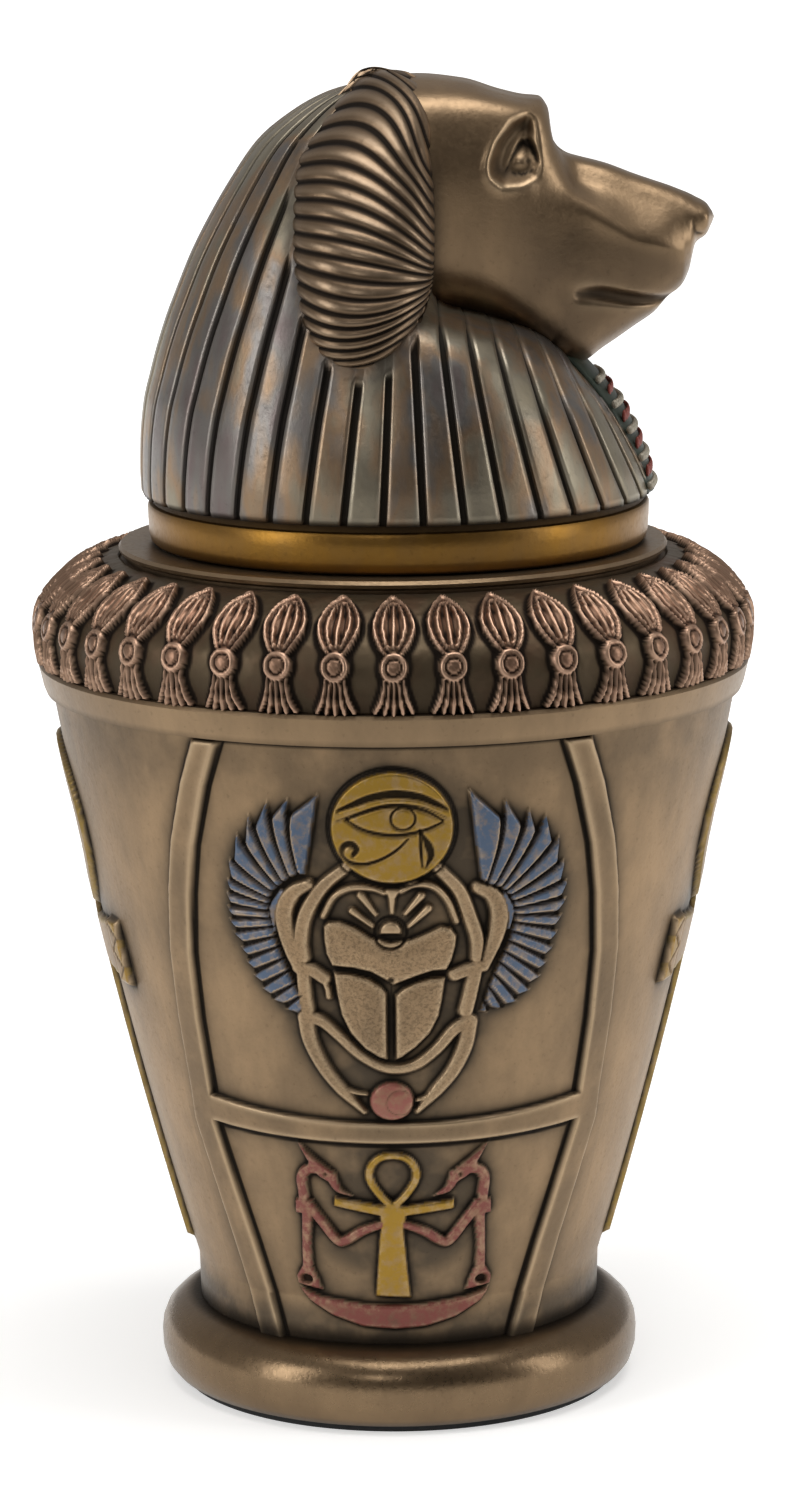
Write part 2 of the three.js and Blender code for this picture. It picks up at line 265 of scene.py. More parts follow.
def steelFinish(name):
    # grey hair strips with a heat-blued bloom of violet, blue and bronze
    material = metalFinish(name, (0.20, 0.175, 0.15), (0.42, 0.37, 0.31), (0.075, 0.066, 0.06),
                           (0.010, 0.008, 0.006), roughness=0.30)
    tree = material.node_tree
    place = placeOutput(tree, "Object")
    patches = times(tree, noiseNode(tree, place, 62, 3, 0.6, (1.0, 1.0, 0.55)), 0.7)
    streaks = times(tree, noiseNode(tree, place, 210, 3, 0.6, (1.0, 1.0, 0.25)), 0.3)
    ramp = addNode(tree, "ShaderNodeValToRGB", {"Fac": plus(tree, patches, streaks)})
    stops = ramp.color_ramp.elements
    stops[0].position, stops[0].color = 0.36, (0.205, 0.155, 0.15, 1)
    stops[1].position, stops[1].color = 0.66, (0.37, 0.32, 0.225, 1)
    for position, colour in ((0.44, (0.215, 0.20, 0.185, 1)), (0.50, (0.32, 0.215, 0.13, 1)),
                             (0.56, (0.28, 0.245, 0.18, 1))):
        stops.new(position).color = colour
    aged = next(node for node in tree.nodes if node.type == "GROUP")
    feed(tree, aged, {"Metal": ramp.outputs["Color"]})
    return material


finishes = {
    "steel": steelFinish("wigSteel"),
    "head": metalFinish("headBronze", (0.295, 0.20, 0.115), (0.52, 0.39, 0.25), (0.105, 0.073, 0.047),
                        (0.014, 0.011, 0.009), roughness=0.27),
    "roll": metalFinish("rollBronze", (0.19, 0.128, 0.078), (0.50, 0.38, 0.26), (0.075, 0.052, 0.036),
                        (0.009, 0.0065, 0.005), roughness=0.27),
    "gold": metalFinish("oldGold", (0.245, 0.122, 0.018), (0.42, 0.27, 0.10), (0.12, 0.082, 0.05),
                        (0.012, 0.009, 0.007), roughness=0.27),
    "collarGround": metalFinish("collarGreen", (0.035, 0.05, 0.035), (0.2, 0.2, 0.15), (0.02, 0.022, 0.016),
                                (0.006, 0.005, 0.004), roughness=0.4, metallic=0.3),
    "collarBead": metalFinish("collarBeads", (0.42, 0.38, 0.30), (0.7, 0.66, 0.55), (0.2, 0.17, 0.13),
                              (0.02, 0.016, 0.012), roughness=0.4, metallic=0.4, carved=False),
    "collarRed": metalFinish("collarRed", (0.26, 0.05, 0.035), (0.5, 0.2, 0.15), (0.1, 0.03, 0.02),
                             (0.01, 0.006, 0.005), roughness=0.4, metallic=0.3, carved=False),
    "felt": metalFinish("feltBlack", (0.012, 0.012, 0.013), (0.04, 0.04, 0.04), (0.008, 0.008, 0.008),
                        (0.003, 0.003, 0.003), roughness=0.75, metallic=0.0, bump=0.2, carved=False),
    "jar": metalFinish("jarBronze", (0.355, 0.24, 0.136), (0.56, 0.415, 0.26), (0.052, 0.042, 0.031),
                       (0.011, 0.0085, 0.0065), roughness=0.36, painted=True),
    "band": metalFinish("bandBronze", (0.30, 0.205, 0.118), (0.58, 0.44, 0.29), (0.085, 0.062, 0.042),
                        (0.012, 0.009, 0.007), roughness=0.28),
    "foot": metalFinish("footBronze", (0.215, 0.145, 0.082), (0.55, 0.42, 0.28), (0.085, 0.058, 0.036),
                        (0.012, 0.009, 0.007), roughness=0.21),
    "bud": metalFinish("budCopper", (0.17, 0.083, 0.051), (0.66, 0.43, 0.30), (0.13, 0.10, 0.06),
                       (0.010, 0.0065, 0.005), roughness=0.30),
}
print("finishes mixed")


# meshes: all sizes below are in mm

def placePiece(name, mesh, node):
    piece = newObject(name, mesh)
    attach(piece, "root")
    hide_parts(node)
    return piece


def makeMesh(name, points, faces, carving, paint=None):
    mesh = bpy.data.meshes.new(name)
    mesh.from_pydata((np.asarray(points, float) * mm).tolist(), [], faces)
    mesh.polygons.foreach_set("use_smooth", [True] * len(mesh.polygons))
    for label, values in (("carving", carving), ("paint", paint)):
        if values is not None:
            layer = mesh.color_attributes.new(label, "FLOAT_COLOR", "POINT")
            layer.data.foreach_set("color", np.asarray(values, np.float32).ravel())
    return mesh


def makePiece(name, mesh, finish, node):
    mesh.materials.append(finishes[finish])
    return placePiece(name, mesh, node)


def gridFaces(index, closed=False):
    following = np.roll(index, -1, axis=1) if closed else index[:, 1:]
    here = index if closed else index[:, :-1]
    return np.stack([here[:-1], following[:-1], following[1:], here[1:]], -1).reshape(-1, 4).tolist()


def tubeMesh(name, points, marks, ends, endMarks=(0.0, 0.0), mirrored=False):
    # rings of points, closed with a point at each end
    index = np.arange(points.shape[0] * points.shape[1]).reshape(points.shape[:2])
    faces = gridFaces(index, closed=True)
    for centre, ring in ((index.size, index[0][::-1]), (index.size + 1, index[-1])):
        faces += [(centre, int(a), int(b)) for a, b in zip(ring, np.roll(ring, -1))]
    if mirrored:
        faces = [face[::-1] for face in faces]
    tips = np.zeros((2, 4))
    tips[:, 0] = endMarks
    return makeMesh(name, np.concatenate([points.reshape(-1, 3), ends]), faces,
                    np.concatenate([marks.reshape(-1, 4), tips]))


def joined(first, second, width):
    return np.concatenate([first.reshape(-1, width), second.reshape(-1, width)])


def onRing(radius, direction, height):
    return np.stack(np.broadcast_arrays(radius * np.cos(direction), radius * np.sin(direction), height), -1)


def turnedPiece(name, profile, count, finish, node, marks=None, shift=0.0):
    # profile: (radius, height) from axis to axis, or a closed loop when it doesn't start on the axis
    crease = 38   # degrees from which an edge stays sharp
    radii, heights = np.array(profile, float).T[:, :, None]
    angles = np.linspace(0, 2 * math.pi, count, endpoint=False)
    points = onRing(radii, angles, heights) + np.array([shift, 0, 0])
    shades = np.zeros(points.shape[:2] + (4,))
    shades[..., 0] += np.array(marks or [0.0] * len(profile))[:, None]
    if profile[0][0] == 0:
        mesh = tubeMesh(name, points[1:-1], shades[1:-1], points[[0, -1], 0], shades[[0, -1], 0, 0])
    else:
        index = np.arange(len(profile) * count).reshape(-1, count)
        faces = gridFaces(np.vstack([index, index[:1]]), closed=True)
        mesh = makeMesh(name, points.reshape(-1, 3), faces, shades)
    mesh.set_sharp_from_angle(angle=math.radians(crease))
    return makePiece(name, mesh, finish, node)


def between(a, b, c, d, t):
    # a smooth way from b to c, for four points in a row
    return 0.5 * (2 * b + (c - a) * t + (2 * a - 5 * b + 4 * c - d) * t * t
                  + (3 * b - a - 3 * c + d) * t ** 3)


def curveThrough(points, steps=5):
    # a smooth line through the given points
    points = [np.array(p, float) for p in points]
    ends = [2 * points[0] - points[1]] + points + [2 * points[-1] - points[-2]]
    line = []
    for a, b, c, d in zip(ends, ends[1:], ends[2:], ends[3:]):
        for step in range(steps):
            t = step / steps
            line.append(between(a, b, c, d, t))
    return line + [points[-1]]


def lineLengths(line):
    return np.concatenate([[0], np.cumsum(np.hypot(*np.diff(line, axis=0).T))])


def unit(value):
    return np.clip(value, 0, 1)


def smoothStep(value):
    value = unit(value)
    return value * value * (3 - 2 * value)


def lookUp(table, places):
    # the table's second column at the given places in its first
    return np.interp(places, *np.array(table, float).T)


def blurred(grid, rows, columns):
    # gaussian blur with its spread given in cells each way
    for axis, spread in ((0, rows), (1, columns)):
        reach = max(1, int(3 * spread))
        weights = np.exp(-0.5 * (np.arange(-reach, reach + 1) / spread) ** 2)
        weights /= weights.sum()
        widths = [(0, 0), (0, 0)]
        widths[axis] = (reach, reach)
        padded = np.pad(grid, widths, mode="edge")
        total = np.zeros_like(grid)
        for step, weight in enumerate(weights):
            taken = [slice(None), slice(None)]
            taken[axis] = slice(step, step + grid.shape[axis])
            total += weight * padded[tuple(taken)]
        grid = total
    return grid


def newFace(across, up, stipple=0.0):
    # a surface to carve: across runs along it and up is its height, on the wall across is the arc
    face = {key: np.zeros(across.shape) for key in ("height", "raised", "ink", "soot")}
    face.update(across=across, up=up, stipple=np.full(across.shape, stipple))
    face["paint"] = np.zeros(across.shape + (4,))
    return face


def atLeast(face, key, amount):
    face[key] = np.maximum(face[key], amount)


def nearLine(face, start, end):
    # distance to the line between two points, and the share of it where it comes nearest
    across, up = face["across"] - start[0], face["up"] - start[1]
    run, rise = end[0] - start[0], end[1] - start[1]
    share = unit((across * run + up * rise) / (run * run + rise * rise + 1e-9))
    return np.hypot(across - run * share, up - rise * share), share


def stroke(face, points, widths):
    # distance to a strip that follows the points, negative inside it
    widths = np.interp(np.linspace(0, 1, len(points)), np.linspace(0, 1, len(widths)), widths)
    best = np.full(face["up"].shape, 99.0)
    for start, end, startWidth, endWidth in zip(points, points[1:], widths, widths[1:]):
        distance, share = nearLine(face, start, end)
        best = np.minimum(best, distance - (startWidth + (endWidth - startWidth) * share))
    return best


def curvedStroke(face, points, widths, steps=5):
    return stroke(face, curveThrough(points, steps), widths)


def plate(face, points):
    # distance to a closed outline, negative inside it
    across, up = face["across"], face["up"]
    best = np.full(across.shape, 99.0)
    inside = np.zeros(across.shape, bool)
    for start, end in zip(points, points[1:] + points[:1]):
        best = np.minimum(best, nearLine(face, start, end)[0])
        run, rise = end[0] - start[0], end[1] - start[1]
        crossing = across < start[0] + run * (up - start[1]) / (rise if abs(rise) > 1e-9 else 1e-9)
        inside ^= ((start[1] > up) != (end[1] > up)) & crossing
    return np.where(inside, -best, best)


def oval(face, place, radii):
    across = (face["across"] - place[0]) / radii[0]
    up = (face["up"] - place[1]) / radii[1]
    return (np.hypot(across, up) - 1) * min(radii)


def lift(face, distance, height, edge=0.45, dome=0.0, domeReach=3.0, paint=None, stipple=0.0):
    rise = smoothStep(-distance / edge + 0.15)
    top = height * rise + dome * smoothStep(-distance / domeReach)
    over = (top > face["height"] - 0.03) & (rise > 0.35)
    atLeast(face, "height", top)
    atLeast(face, "raised", rise)
    face["paint"][over] = paints[paint] + (1.0,) if paint else 0
    face["stipple"][over] = stipple


def groove(face, distance, depth, edge=0.3):
    cut = smoothStep(-distance / edge + 0.3)
    face["height"] = face["height"] - depth * cut
    atLeast(face, "ink", cut)


paints = {
    "gold": (0.31, 0.185, 0.027),
    "blue": (0.062, 0.106, 0.18),
    "red": (0.185, 0.044, 0.034),
    "rose": (0.26, 0.08, 0.06),
    "olive": (0.24, 0.16, 0.03),
}

panel = {
    "relief": 0.92,
    "shift": -0.4,
    "ribWidth": 4.3,
    # inner edge of the side ribs: height, half width
    "ribInner": [(11, 15.6), (24.8, 20.0), (41.8, 26.0), (46.5, 26.4), (52, 27.2), (57, 27.9),
                 (66.5, 28.6), (75, 28.2), (82, 27.3), (90.5, 25.2), (97.5, 22.8)],
    "barTop": (44.4, 46.2),      # centre, sides
    "barBottom": (41.1, 42.0),
    "barHalf": 26.5,
    "topLine": 96.75,
}


def barEdge(name, share):
    # the crossbar's edge, at a share of its half width squared
    centre, sides = panel[name]
    return centre + (sides - centre) * share


def panelFrame(face):
    across, up = np.abs(face["across"]), face["up"]
    inner = lookUp(panel["ribInner"], up)
    share = unit(across / panel["barHalf"]) ** 2
    top, bottom = barEdge("barTop", share), barEdge("barBottom", share)
    rib = inner - across
    outer = across - inner - panel["ribWidth"]
    bar = np.maximum(np.maximum(up - top, bottom - up), across - inner - 2)
    ribHeight = smoothStep(-rib / 0.4 + 0.2) * smoothStep(-outer / 0.8 + 0.25)   # steep inside, soft outside
    height = np.maximum(ribHeight, smoothStep(-bar / 0.45 + 0.2))
    atLeast(face, "height", panel["relief"] * height)
    atLeast(face, "raised", height * 0.55)
    groove(face, np.maximum(np.abs(rib - 0.35) - 0.38, -bar - 0.2), 0.42)
    groove(face, np.abs(outer - 0.2) - 0.16, 0.2)
    groove(face, np.maximum(np.abs(up - bottom + 0.35) - 0.3, across - inner), 0.3)
    groove(face, np.maximum(np.abs(up - panel["topLine"]) - 0.25, across - inner - 4), 0.25)


scarabWork = {
    "disc": ((0.0, 86.0), (8.1, 7.8)),
    "ball": ((-0.3, 47.5), (3.05, 2.95)),
    "featherTipsLeft": [(-9.2, 91.0), (-13.3, 90.3), (-16.4, 89.9), (-19.3, 88.0), (-21.1, 84.9),
                        (-22.5, 81.2),
                        (-23.0, 78.3), (-23.1, 76.3), (-23.1, 74.3), (-22.9, 72.4), (-22.3, 70.5),
                        (-21.1, 68.5),
                        (-20.4, 66.6), (-19.4, 64.7), (-18.2, 62.9), (-16.9, 61.3), (-15.0, 60.1)],
    "featherRootsLeft": [(-11.1, 79.1), (-12.3, 79.1), (-13.4, 78.5), (-14.3, 77.8), (-15.0, 77.2),
                         (-15.7, 76.5),
                         (-16.0, 75.6), (-16.2, 74.8), (-16.2, 73.9), (-16.0, 72.9), (-15.7, 71.8),
                         (-15.3, 70.5),
                         (-14.9, 69.1), (-14.3, 67.5), (-13.6, 65.8), (-12.8, 64.0), (-12.0, 62.3)],
    "featherTipsRight": [(9.6, 91.6), (14.6, 90.0), (18.1, 88.4), (20.6, 87.3), (22.8, 84.2), (23.7, 80.6),
                         (24.3, 77.6), (24.3, 75.0), (23.6, 72.6), (23.0, 70.4), (22.3, 68.2), (21.4, 66.1),
                         (20.4, 64.1), (18.9, 62.2), (17.0, 60.7), (14.9, 59.7), (12.8, 59.4)],
    "featherRootsRight": [(11.2, 78.5), (12.2, 77.6), (13.2, 77.3), (14.0, 76.9), (14.6, 76.4), (15.2, 75.8),
                          (15.6, 75.0), (15.8, 74.1), (15.9, 73.2), (15.8, 72.2), (15.5, 71.0), (15.1, 69.7),
                          (14.5, 68.3), (13.8, 66.9), (13.1, 65.3), (12.4, 63.6), (11.8, 61.8)],
    "armLeft": [(-10.9, 78.0), (-13.0, 76.7), (-14.2, 74.2), (-14.0, 71.2), (-12.9, 67.6), (-11.8, 65.0)],
    "armRight": [(11.0, 77.4), (13.0, 76.2), (13.9, 73.9), (13.7, 71.4), (12.9, 68.9), (11.9, 66.2)],
    "foreLeft": [(-6.1, 80.4), (-8.9, 77.9), (-11.2, 74.1), (-12.0, 70.3), (-11.6, 67.7)],
    "foreRight": [(6.0, 80.2), (8.6, 77.1), (10.0, 73.3), (10.9, 70.2), (10.8, 67.6)],
    "browLeft": [(-9.0, 73.7), (-7.6, 76.4), (-5.4, 77.7), (-2.6, 77.7), (-1.1, 77.1)],
    "browRight": [(8.2, 72.9), (7.1, 75.8), (5.3, 77.8), (2.9, 78.2), (1.1, 77.3)],
    "rays": [((-4.1, 76.7), (-2.2, 74.0)), ((-5.2, 74.5), (-2.5, 72.3)), ((-0.1, 76.6), (-0.1, 74.3)),
             ((3.7, 76.6), (1.6, 74.1)), ((4.6, 74.8), (2.0, 72.3))],
    "pronotum": [(-9.1, 72.4), (-8.4, 73.1), (-6.9, 73.2), (-4.8, 72.4), (-2.8, 71.0), (-0.3, 70.3),
                 (2.3, 70.7),
                 (4.4, 71.6), (6.2, 72.5), (7.6, 72.1), (8.4, 70.9), (8.2, 69.3), (7.7, 67.4), (7.0, 66.0),
                 (5.0, 65.9), (3.2, 65.3), (1.4, 64.6), (0.0, 64.0), (-1.3, 64.9), (-3.0, 65.9), (-5.2, 66.4),
                 (-8.0, 66.6), (-8.8, 68.4), (-9.1, 70.6)],
    "wingCaseLeft": [(-7.9, 66.0), (-5.2, 65.8), (-3.0, 65.2), (-1.6, 64.2), (-0.7, 63.0), (-0.7, 53.3),
                     (-2.0, 53.7),
                     (-3.8, 54.9), (-5.7, 57.1), (-6.9, 59.8), (-7.5, 62.9)],
    "wingCaseRight": [(6.9, 65.3), (4.8, 65.2), (2.8, 64.6), (1.2, 63.8), (0.1, 62.8), (0.1, 53.3),
                      (1.1, 53.7),
                      (3.0, 55.2), (4.8, 57.1), (6.0, 59.6), (6.5, 62.2)],
    "limbWidths": {
        "foreLeft": [1.0, 1.15, 1.25, 1.25, 1.05], "foreRight": [1.0, 1.15, 1.2, 1.2, 1.0],
        "browLeft": [0.65, 0.7, 0.6], "browRight": [0.65, 0.7, 0.6], "smile": [1.2, 1.0, 0.9, 1.0, 1.15],
        "hindLeft": [1.4, 1.3, 1.2, 1.1, 0.6], "hindRight": [1.35, 1.3, 1.2, 1.1, 0.6],
    },
    "midLegs": [[(-12.4, 66.3), (-10.6, 66.0), (-9.0, 65.0)], [(-11.8, 65.6), (-11.6, 62.8), (-11.2, 60.0)],
                [(-9.3, 65.2), (-8.6, 63.6), (-8.4, 62.3)], [(11.4, 66.4), (9.8, 66.0), (8.0, 65.4)],
                [(10.6, 65.4), (10.0, 62.6), (9.4, 60.2)]],
    "smile": [(-11.3, 59.4), (-9.2, 58.7), (-7.0, 56.7), (-4.2, 54.0), (-0.8, 52.2), (2.6, 52.6), (5.5, 54.8),
              (7.7, 57.4), (9.6, 58.7)],
    "hindLeft": [(-11.5, 59.2), (-11.0, 56.0), (-9.2, 52.2), (-6.8, 49.0), (-3.9, 45.9)],
    "hindRight": [(9.9, 58.6), (9.3, 55.2), (7.7, 51.7), (5.5, 48.9), (3.0, 46.0)],
    "hooks": [[(-6.8, 49.4), (-5.0, 48.7), (-3.6, 48.5)], [(5.6, 49.0), (4.2, 48.0), (3.0, 47.6)]],
}


def pairs(points):
    return [tuple(point) for point in points]


def carveWing(face, side):
    # one plate of feathers, parted by grooves, each with a pointed tip that hooks towards the disc
    tips, roots = (np.array(scarabWork[name + side]) for name in ("featherTips", "featherRoots"))
    tips, roots = (np.vstack([row, 2 * row[-1] - row[-2]]) for row in (tips, roots))
    sign = -1 if side == "Left" else 1
    last = len(tips) - 1
    lines, outline = [], []
    for index, (tip, root) in enumerate(zip(tips, roots)):
        blade = max(0.0, 1 - index / 6.5)   # the upper feathers are longer and hook more
        middle = 0.5 * (tip + root) + np.array([sign * 0.8, 0.1]) * blade * min(index, 1)
        line = np.array(curveThrough([root, middle, tip], 6))
        notched = line
        if index:
            notched = line[np.linalg.norm(line - line[-1], axis=1) > 0.75 + 2.3 * blade]
            outline += pairs(notched[-1:])
        if index < last:
            outline += pairs(line[-2:])
        if 0 < index < last:
            lines.append(notched)
    wing = plate(face, outline + pairs(roots[::-1]))
    lift(face, wing + 0.1, panel["relief"], 0.6, 0.15, 1.2, paint="blue")
    inside = wing < -0.05
    for line in lines:
        step = line[-1] - line[0]
        away = np.array([step[1], -step[0]]) / np.linalg.norm(step) * 0.42 * -sign
        rim = stroke(face, line + away, [0.06, 0.12, 0.2])
        face["paint"][inside & (rim < 0.0), 3] *= 0.2
        groove(face, stroke(face, line, [0.2, 0.3, 0.46]), 0.7, 0.26)
    for tip in tips[:-1]:
        face["paint"][inside & (oval(face, tip, (1.1, 1.1)) < 0), 3] *= 0.45


def carveScarab(face):
    sizes = scarabWork
    relief = panel["relief"]
    atLeast(face, "soot", 0.7 * smoothStep(-oval(face, (0, 75), (28.0, 27.0)) / 9))
    for side, sign in (("Left", -1), ("Right", 1)):
        carveWing(face, side)
        edge = [(x + sign * 1.6, z) for x, z in sizes["arm" + side][1:4]]
        lift(face, curvedStroke(face, edge, [0.5, 0.7, 0.3], 4), relief * 0.7, 0.4, paint="blue")
        arm = curvedStroke(face, sizes["arm" + side], [1.0, 1.4, 1.5, 1.3, 0.9])
        lift(face, arm, relief * 1.05, 0.7, stipple=0.8)
    for name, widths in sizes["limbWidths"].items():
        lift(face, curvedStroke(face, sizes[name], widths), relief * 1.05, 0.7, stipple=0.7)
    for leg, width in zip(sizes["midLegs"], (1.15, 1.15, 0.6, 1.1, 1.2)):
        lift(face, curvedStroke(face, leg, [width], 4), relief, 0.6, stipple=0.7)
    for hook in sizes["hooks"]:
        lift(face, curvedStroke(face, hook, [0.6, 0.4], 4), relief * 0.9, 0.5, stipple=0.5)
    for ray in sizes["rays"]:
        lift(face, stroke(face, ray, [0.68, 0.42]), relief * 0.85, 0.5)
    lift(face, plate(face, [(-1.2, 77.7), (1.2, 77.7), (0.5, 76.2), (-0.6, 76.2)]), relief, 0.4)
    for name in ("pronotum", "wingCaseLeft", "wingCaseRight"):
        lift(face, plate(face, sizes[name]), relief * 1.05, 0.5, 0.25, 3.0, stipple=1.0)
    knob = (-0.3, 71.5)   # the half round knob between the rays
    groove(face, np.abs(oval(face, knob, (2.1, 2.2))) - 0.25, 0.5)
    lift(face, np.maximum(oval(face, knob, (1.55, 1.75)), 71.2 - face["up"]), relief, 0.5)
    groove(face, stroke(face, [(-0.3, 64.2), (-0.3, 53.2)], [0.12]), 0.4)
    groove(face, oval(face, (-0.3, 64.9), (0.5, 0.45)), 0.3)
    lift(face, oval(face, *sizes["disc"]), relief * 1.1, 0.6, 0.45, 7.0, paint="gold")
    lift(face, oval(face, *sizes["ball"]), relief * 1.1, 0.6, 0.4, 2.6, paint="rose")
    groove(face, np.abs(oval(face, (0.75, 47.4), (1.7, 1.8))) - 0.12, 0.16)
    groove(face, np.abs(oval(face, sizes["disc"][0], (8.5, 8.2))) - 0.22, 0.3)


eyeWork = {
    "brow": [(-6.8, 88.4), (-5.0, 89.2), (-2.6, 90.2), (0.4, 90.7), (3.4, 90.3), (5.6, 89.3), (7.0, 88.5)],
    "fold": [(-7.0, 87.0), (-4.6, 88.0), (-2.0, 88.9), (0.8, 89.3), (4.0, 88.9), (6.9, 87.4)],
    "lidTop": [(-5.8, 87.2), (-3.8, 88.1), (-1.2, 89.0), (1.4, 89.1), (4.2, 88.4), (6.5, 87.0)],
    "lidLow": [(-5.8, 87.2), (-3.9, 86.0), (-1.4, 85.3), (1.2, 85.2), (4.2, 85.8), (6.5, 86.8)],
    "iris": (1.4, 87.4),
    "tail": [(2.0, 84.6), (0.7, 83.2), (-1.2, 81.9), (-3.4, 81.1), (-5.3, 81.3), (-6.4, 82.3), (-6.2, 83.5),
             (-5.2, 83.9), (-4.5, 83.2), (-4.9, 82.4)],
    "drop": [(3.5, 85.8), (3.6, 83.6), (3.8, 80.8)],
    "leaf": [(3.7, 85.4), (4.6, 83.6), (4.9, 82.2), (4.3, 80.6)],
}


def carveEye(face):
    for name, widths, depth in (
        ("brow", [0.26, 0.52, 0.64, 0.52, 0.26], 0.5),
        ("lidTop", [0.22, 0.34, 0.36, 0.24], 0.35),
        ("lidLow", [0.22, 0.34, 0.34, 0.22], 0.35),
        ("fold", [0.14, 0.24, 0.14], 0.22),
        ("tail", [0.22, 0.30, 0.36, 0.5, 0.4], 0.4),
        ("drop", [0.22, 0.32, 0.2], 0.4),
        ("leaf", [0.24, 0.62, 0.55, 0.16], 0.35),
    ):
        groove(face, curvedStroke(face, eyeWork[name], widths), depth)
    groove(face, np.abs(oval(face, eyeWork["iris"], (1.55, 1.5))) - 0.24, 0.35)


lowerWork = {
    "centre": -0.3,
    "loop": [(0.0, 31.9), (-1.5, 33.4), (-2.9, 35.6), (-3.0, 37.4), (-1.9, 39.0), (0.0, 39.5),
             (1.9, 39.0), (3.0, 37.4), (2.9, 35.6), (1.5, 33.4), (0.0, 31.9)],
    "crossArms": [(-8.0, 33.3), (-8.1, 31.7), (-1.6, 30.4), (-2.0, 27.6), (-2.6, 18.3), (2.3, 18.1),
                  (1.9, 22.0),
                  (1.4, 28.0), (1.4, 30.4), (8.1, 31.3), (8.1, 33.0), (1.2, 32.2), (0, 32.4), (-1.2, 32.3)],
    "widths": {
        "crest": [0.14, 0.65, 1.0], "head": [0.85, 1.1, 0.6], "beak": [0.9, 0.65, 0.12],
        "neck": [0.75, 0.9, 0.88, 0.85], "arm": [0.9, 0.85, 0.88, 0.85, 0.75], "shaft": [0.9, 0.75, 0.85],
    },
    "crest": [(-13.2, 41.0), (-11.4, 38.8), (-9.9, 37.2)],
    "head": [(-11.0, 37.6), (-9.4, 36.7), (-8.2, 35.4)],
    "beak": [(-8.6, 36.4), (-7.6, 34.4), (-5.6, 33.3)],
    "neck": [(-9.6, 37.0), (-11.6, 37.0), (-12.6, 35.7), (-12.4, 33.4), (-12.3, 31.6)],
    "block": [(-13.6, 32.6), (-11.0, 32.6), (-11.0, 30.2), (-13.6, 30.2)],
    "arm": [(-11.6, 31.6), (-9.9, 29.4), (-7.8, 26.7), (-6.6, 26.7), (-4.4, 28.2), (-2.0, 29.2)],
    "shaft": [(-11.9, 30.2), (-12.1, 26.0), (-12.0, 22.6)],
    "foot": [(-12.6, 22.8), (-11.2, 22.4), (-10.3, 20.4), (-9.8, 18.8), (-13.4, 19.4), (-13.7, 20.8)],
    "basket": [(-13.6, 19.2), (-9.8, 18.0), (-4.0, 17.3), (0.0, 17.2), (4.0, 17.4), (9.4, 18.1), (13.0, 19.2),
               (11.6, 17.0), (8.0, 15.0), (4.0, 13.9), (0.0, 13.6), (-4.4, 13.9), (-8.6, 15.2),
               (-11.8, 17.0)],
}


def flipped(points):
    return [(2 * lowerWork["centre"] - x, z) for x, z in points]


def carveLowerPanel(face):
    # two birds on a basket, and a looped cross between them
    work = lowerWork
    relief = panel["relief"]
    atLeast(face, "soot", 0.95 * smoothStep(-oval(face, (-0.3, 31.5), (16.5, 13.5)) / 5))
    for turn in (list, flipped):
        for name, widths in work["widths"].items():
            lift(face, curvedStroke(face, turn(work[name]), widths, 4), relief, 0.5, paint="red")
        lift(face, plate(face, turn(work["block"])), relief * 1.1, 0.4, paint="red")
        lift(face, plate(face, turn(work["foot"])), relief, 0.4, paint="red")
        groove(face, oval(face, turn([(-12.1, 20.4)])[0], (0.95, 0.75)), 0.8)   # hole in the foot
        groove(face, oval(face, turn([(-9.2, 36.5)])[0], (0.34, 0.34)), 0.35)   # eye
    lift(face, plate(face, work["basket"]), relief, 0.45, paint="red")
    centre = work["centre"]
    loop = [(x + centre, z) for x, z in work["loop"]]
    lift(face, curvedStroke(face, loop, [0.66], 4), relief, 0.4, paint="gold")
    arms = [(x + centre * 0.6, z) for x, z in work["crossArms"]]
    lift(face, plate(face, arms), relief * 1.05, 0.4, paint="gold")
    lift(face, oval(face, (centre, 30.4), (1.9, 1.7)), relief * 1.1, 0.5, paint="gold")


sideWork = {
    "loopPlace": (0.0, 79.0),
    "loopRadius": (10.0, 10.4),
    "loopWidth": 1.7,
    "armHeight": 63.0,
    "armNear": 3.0,
    "armFar": 4.5,
    "armReach": 16.6,
    "endBlock": 3.6,
    "stemHigh": 3.0,
    "stemLow": 4.6,
    "stemBottom": 20.0,
    "gildWidth": 0.9,
}


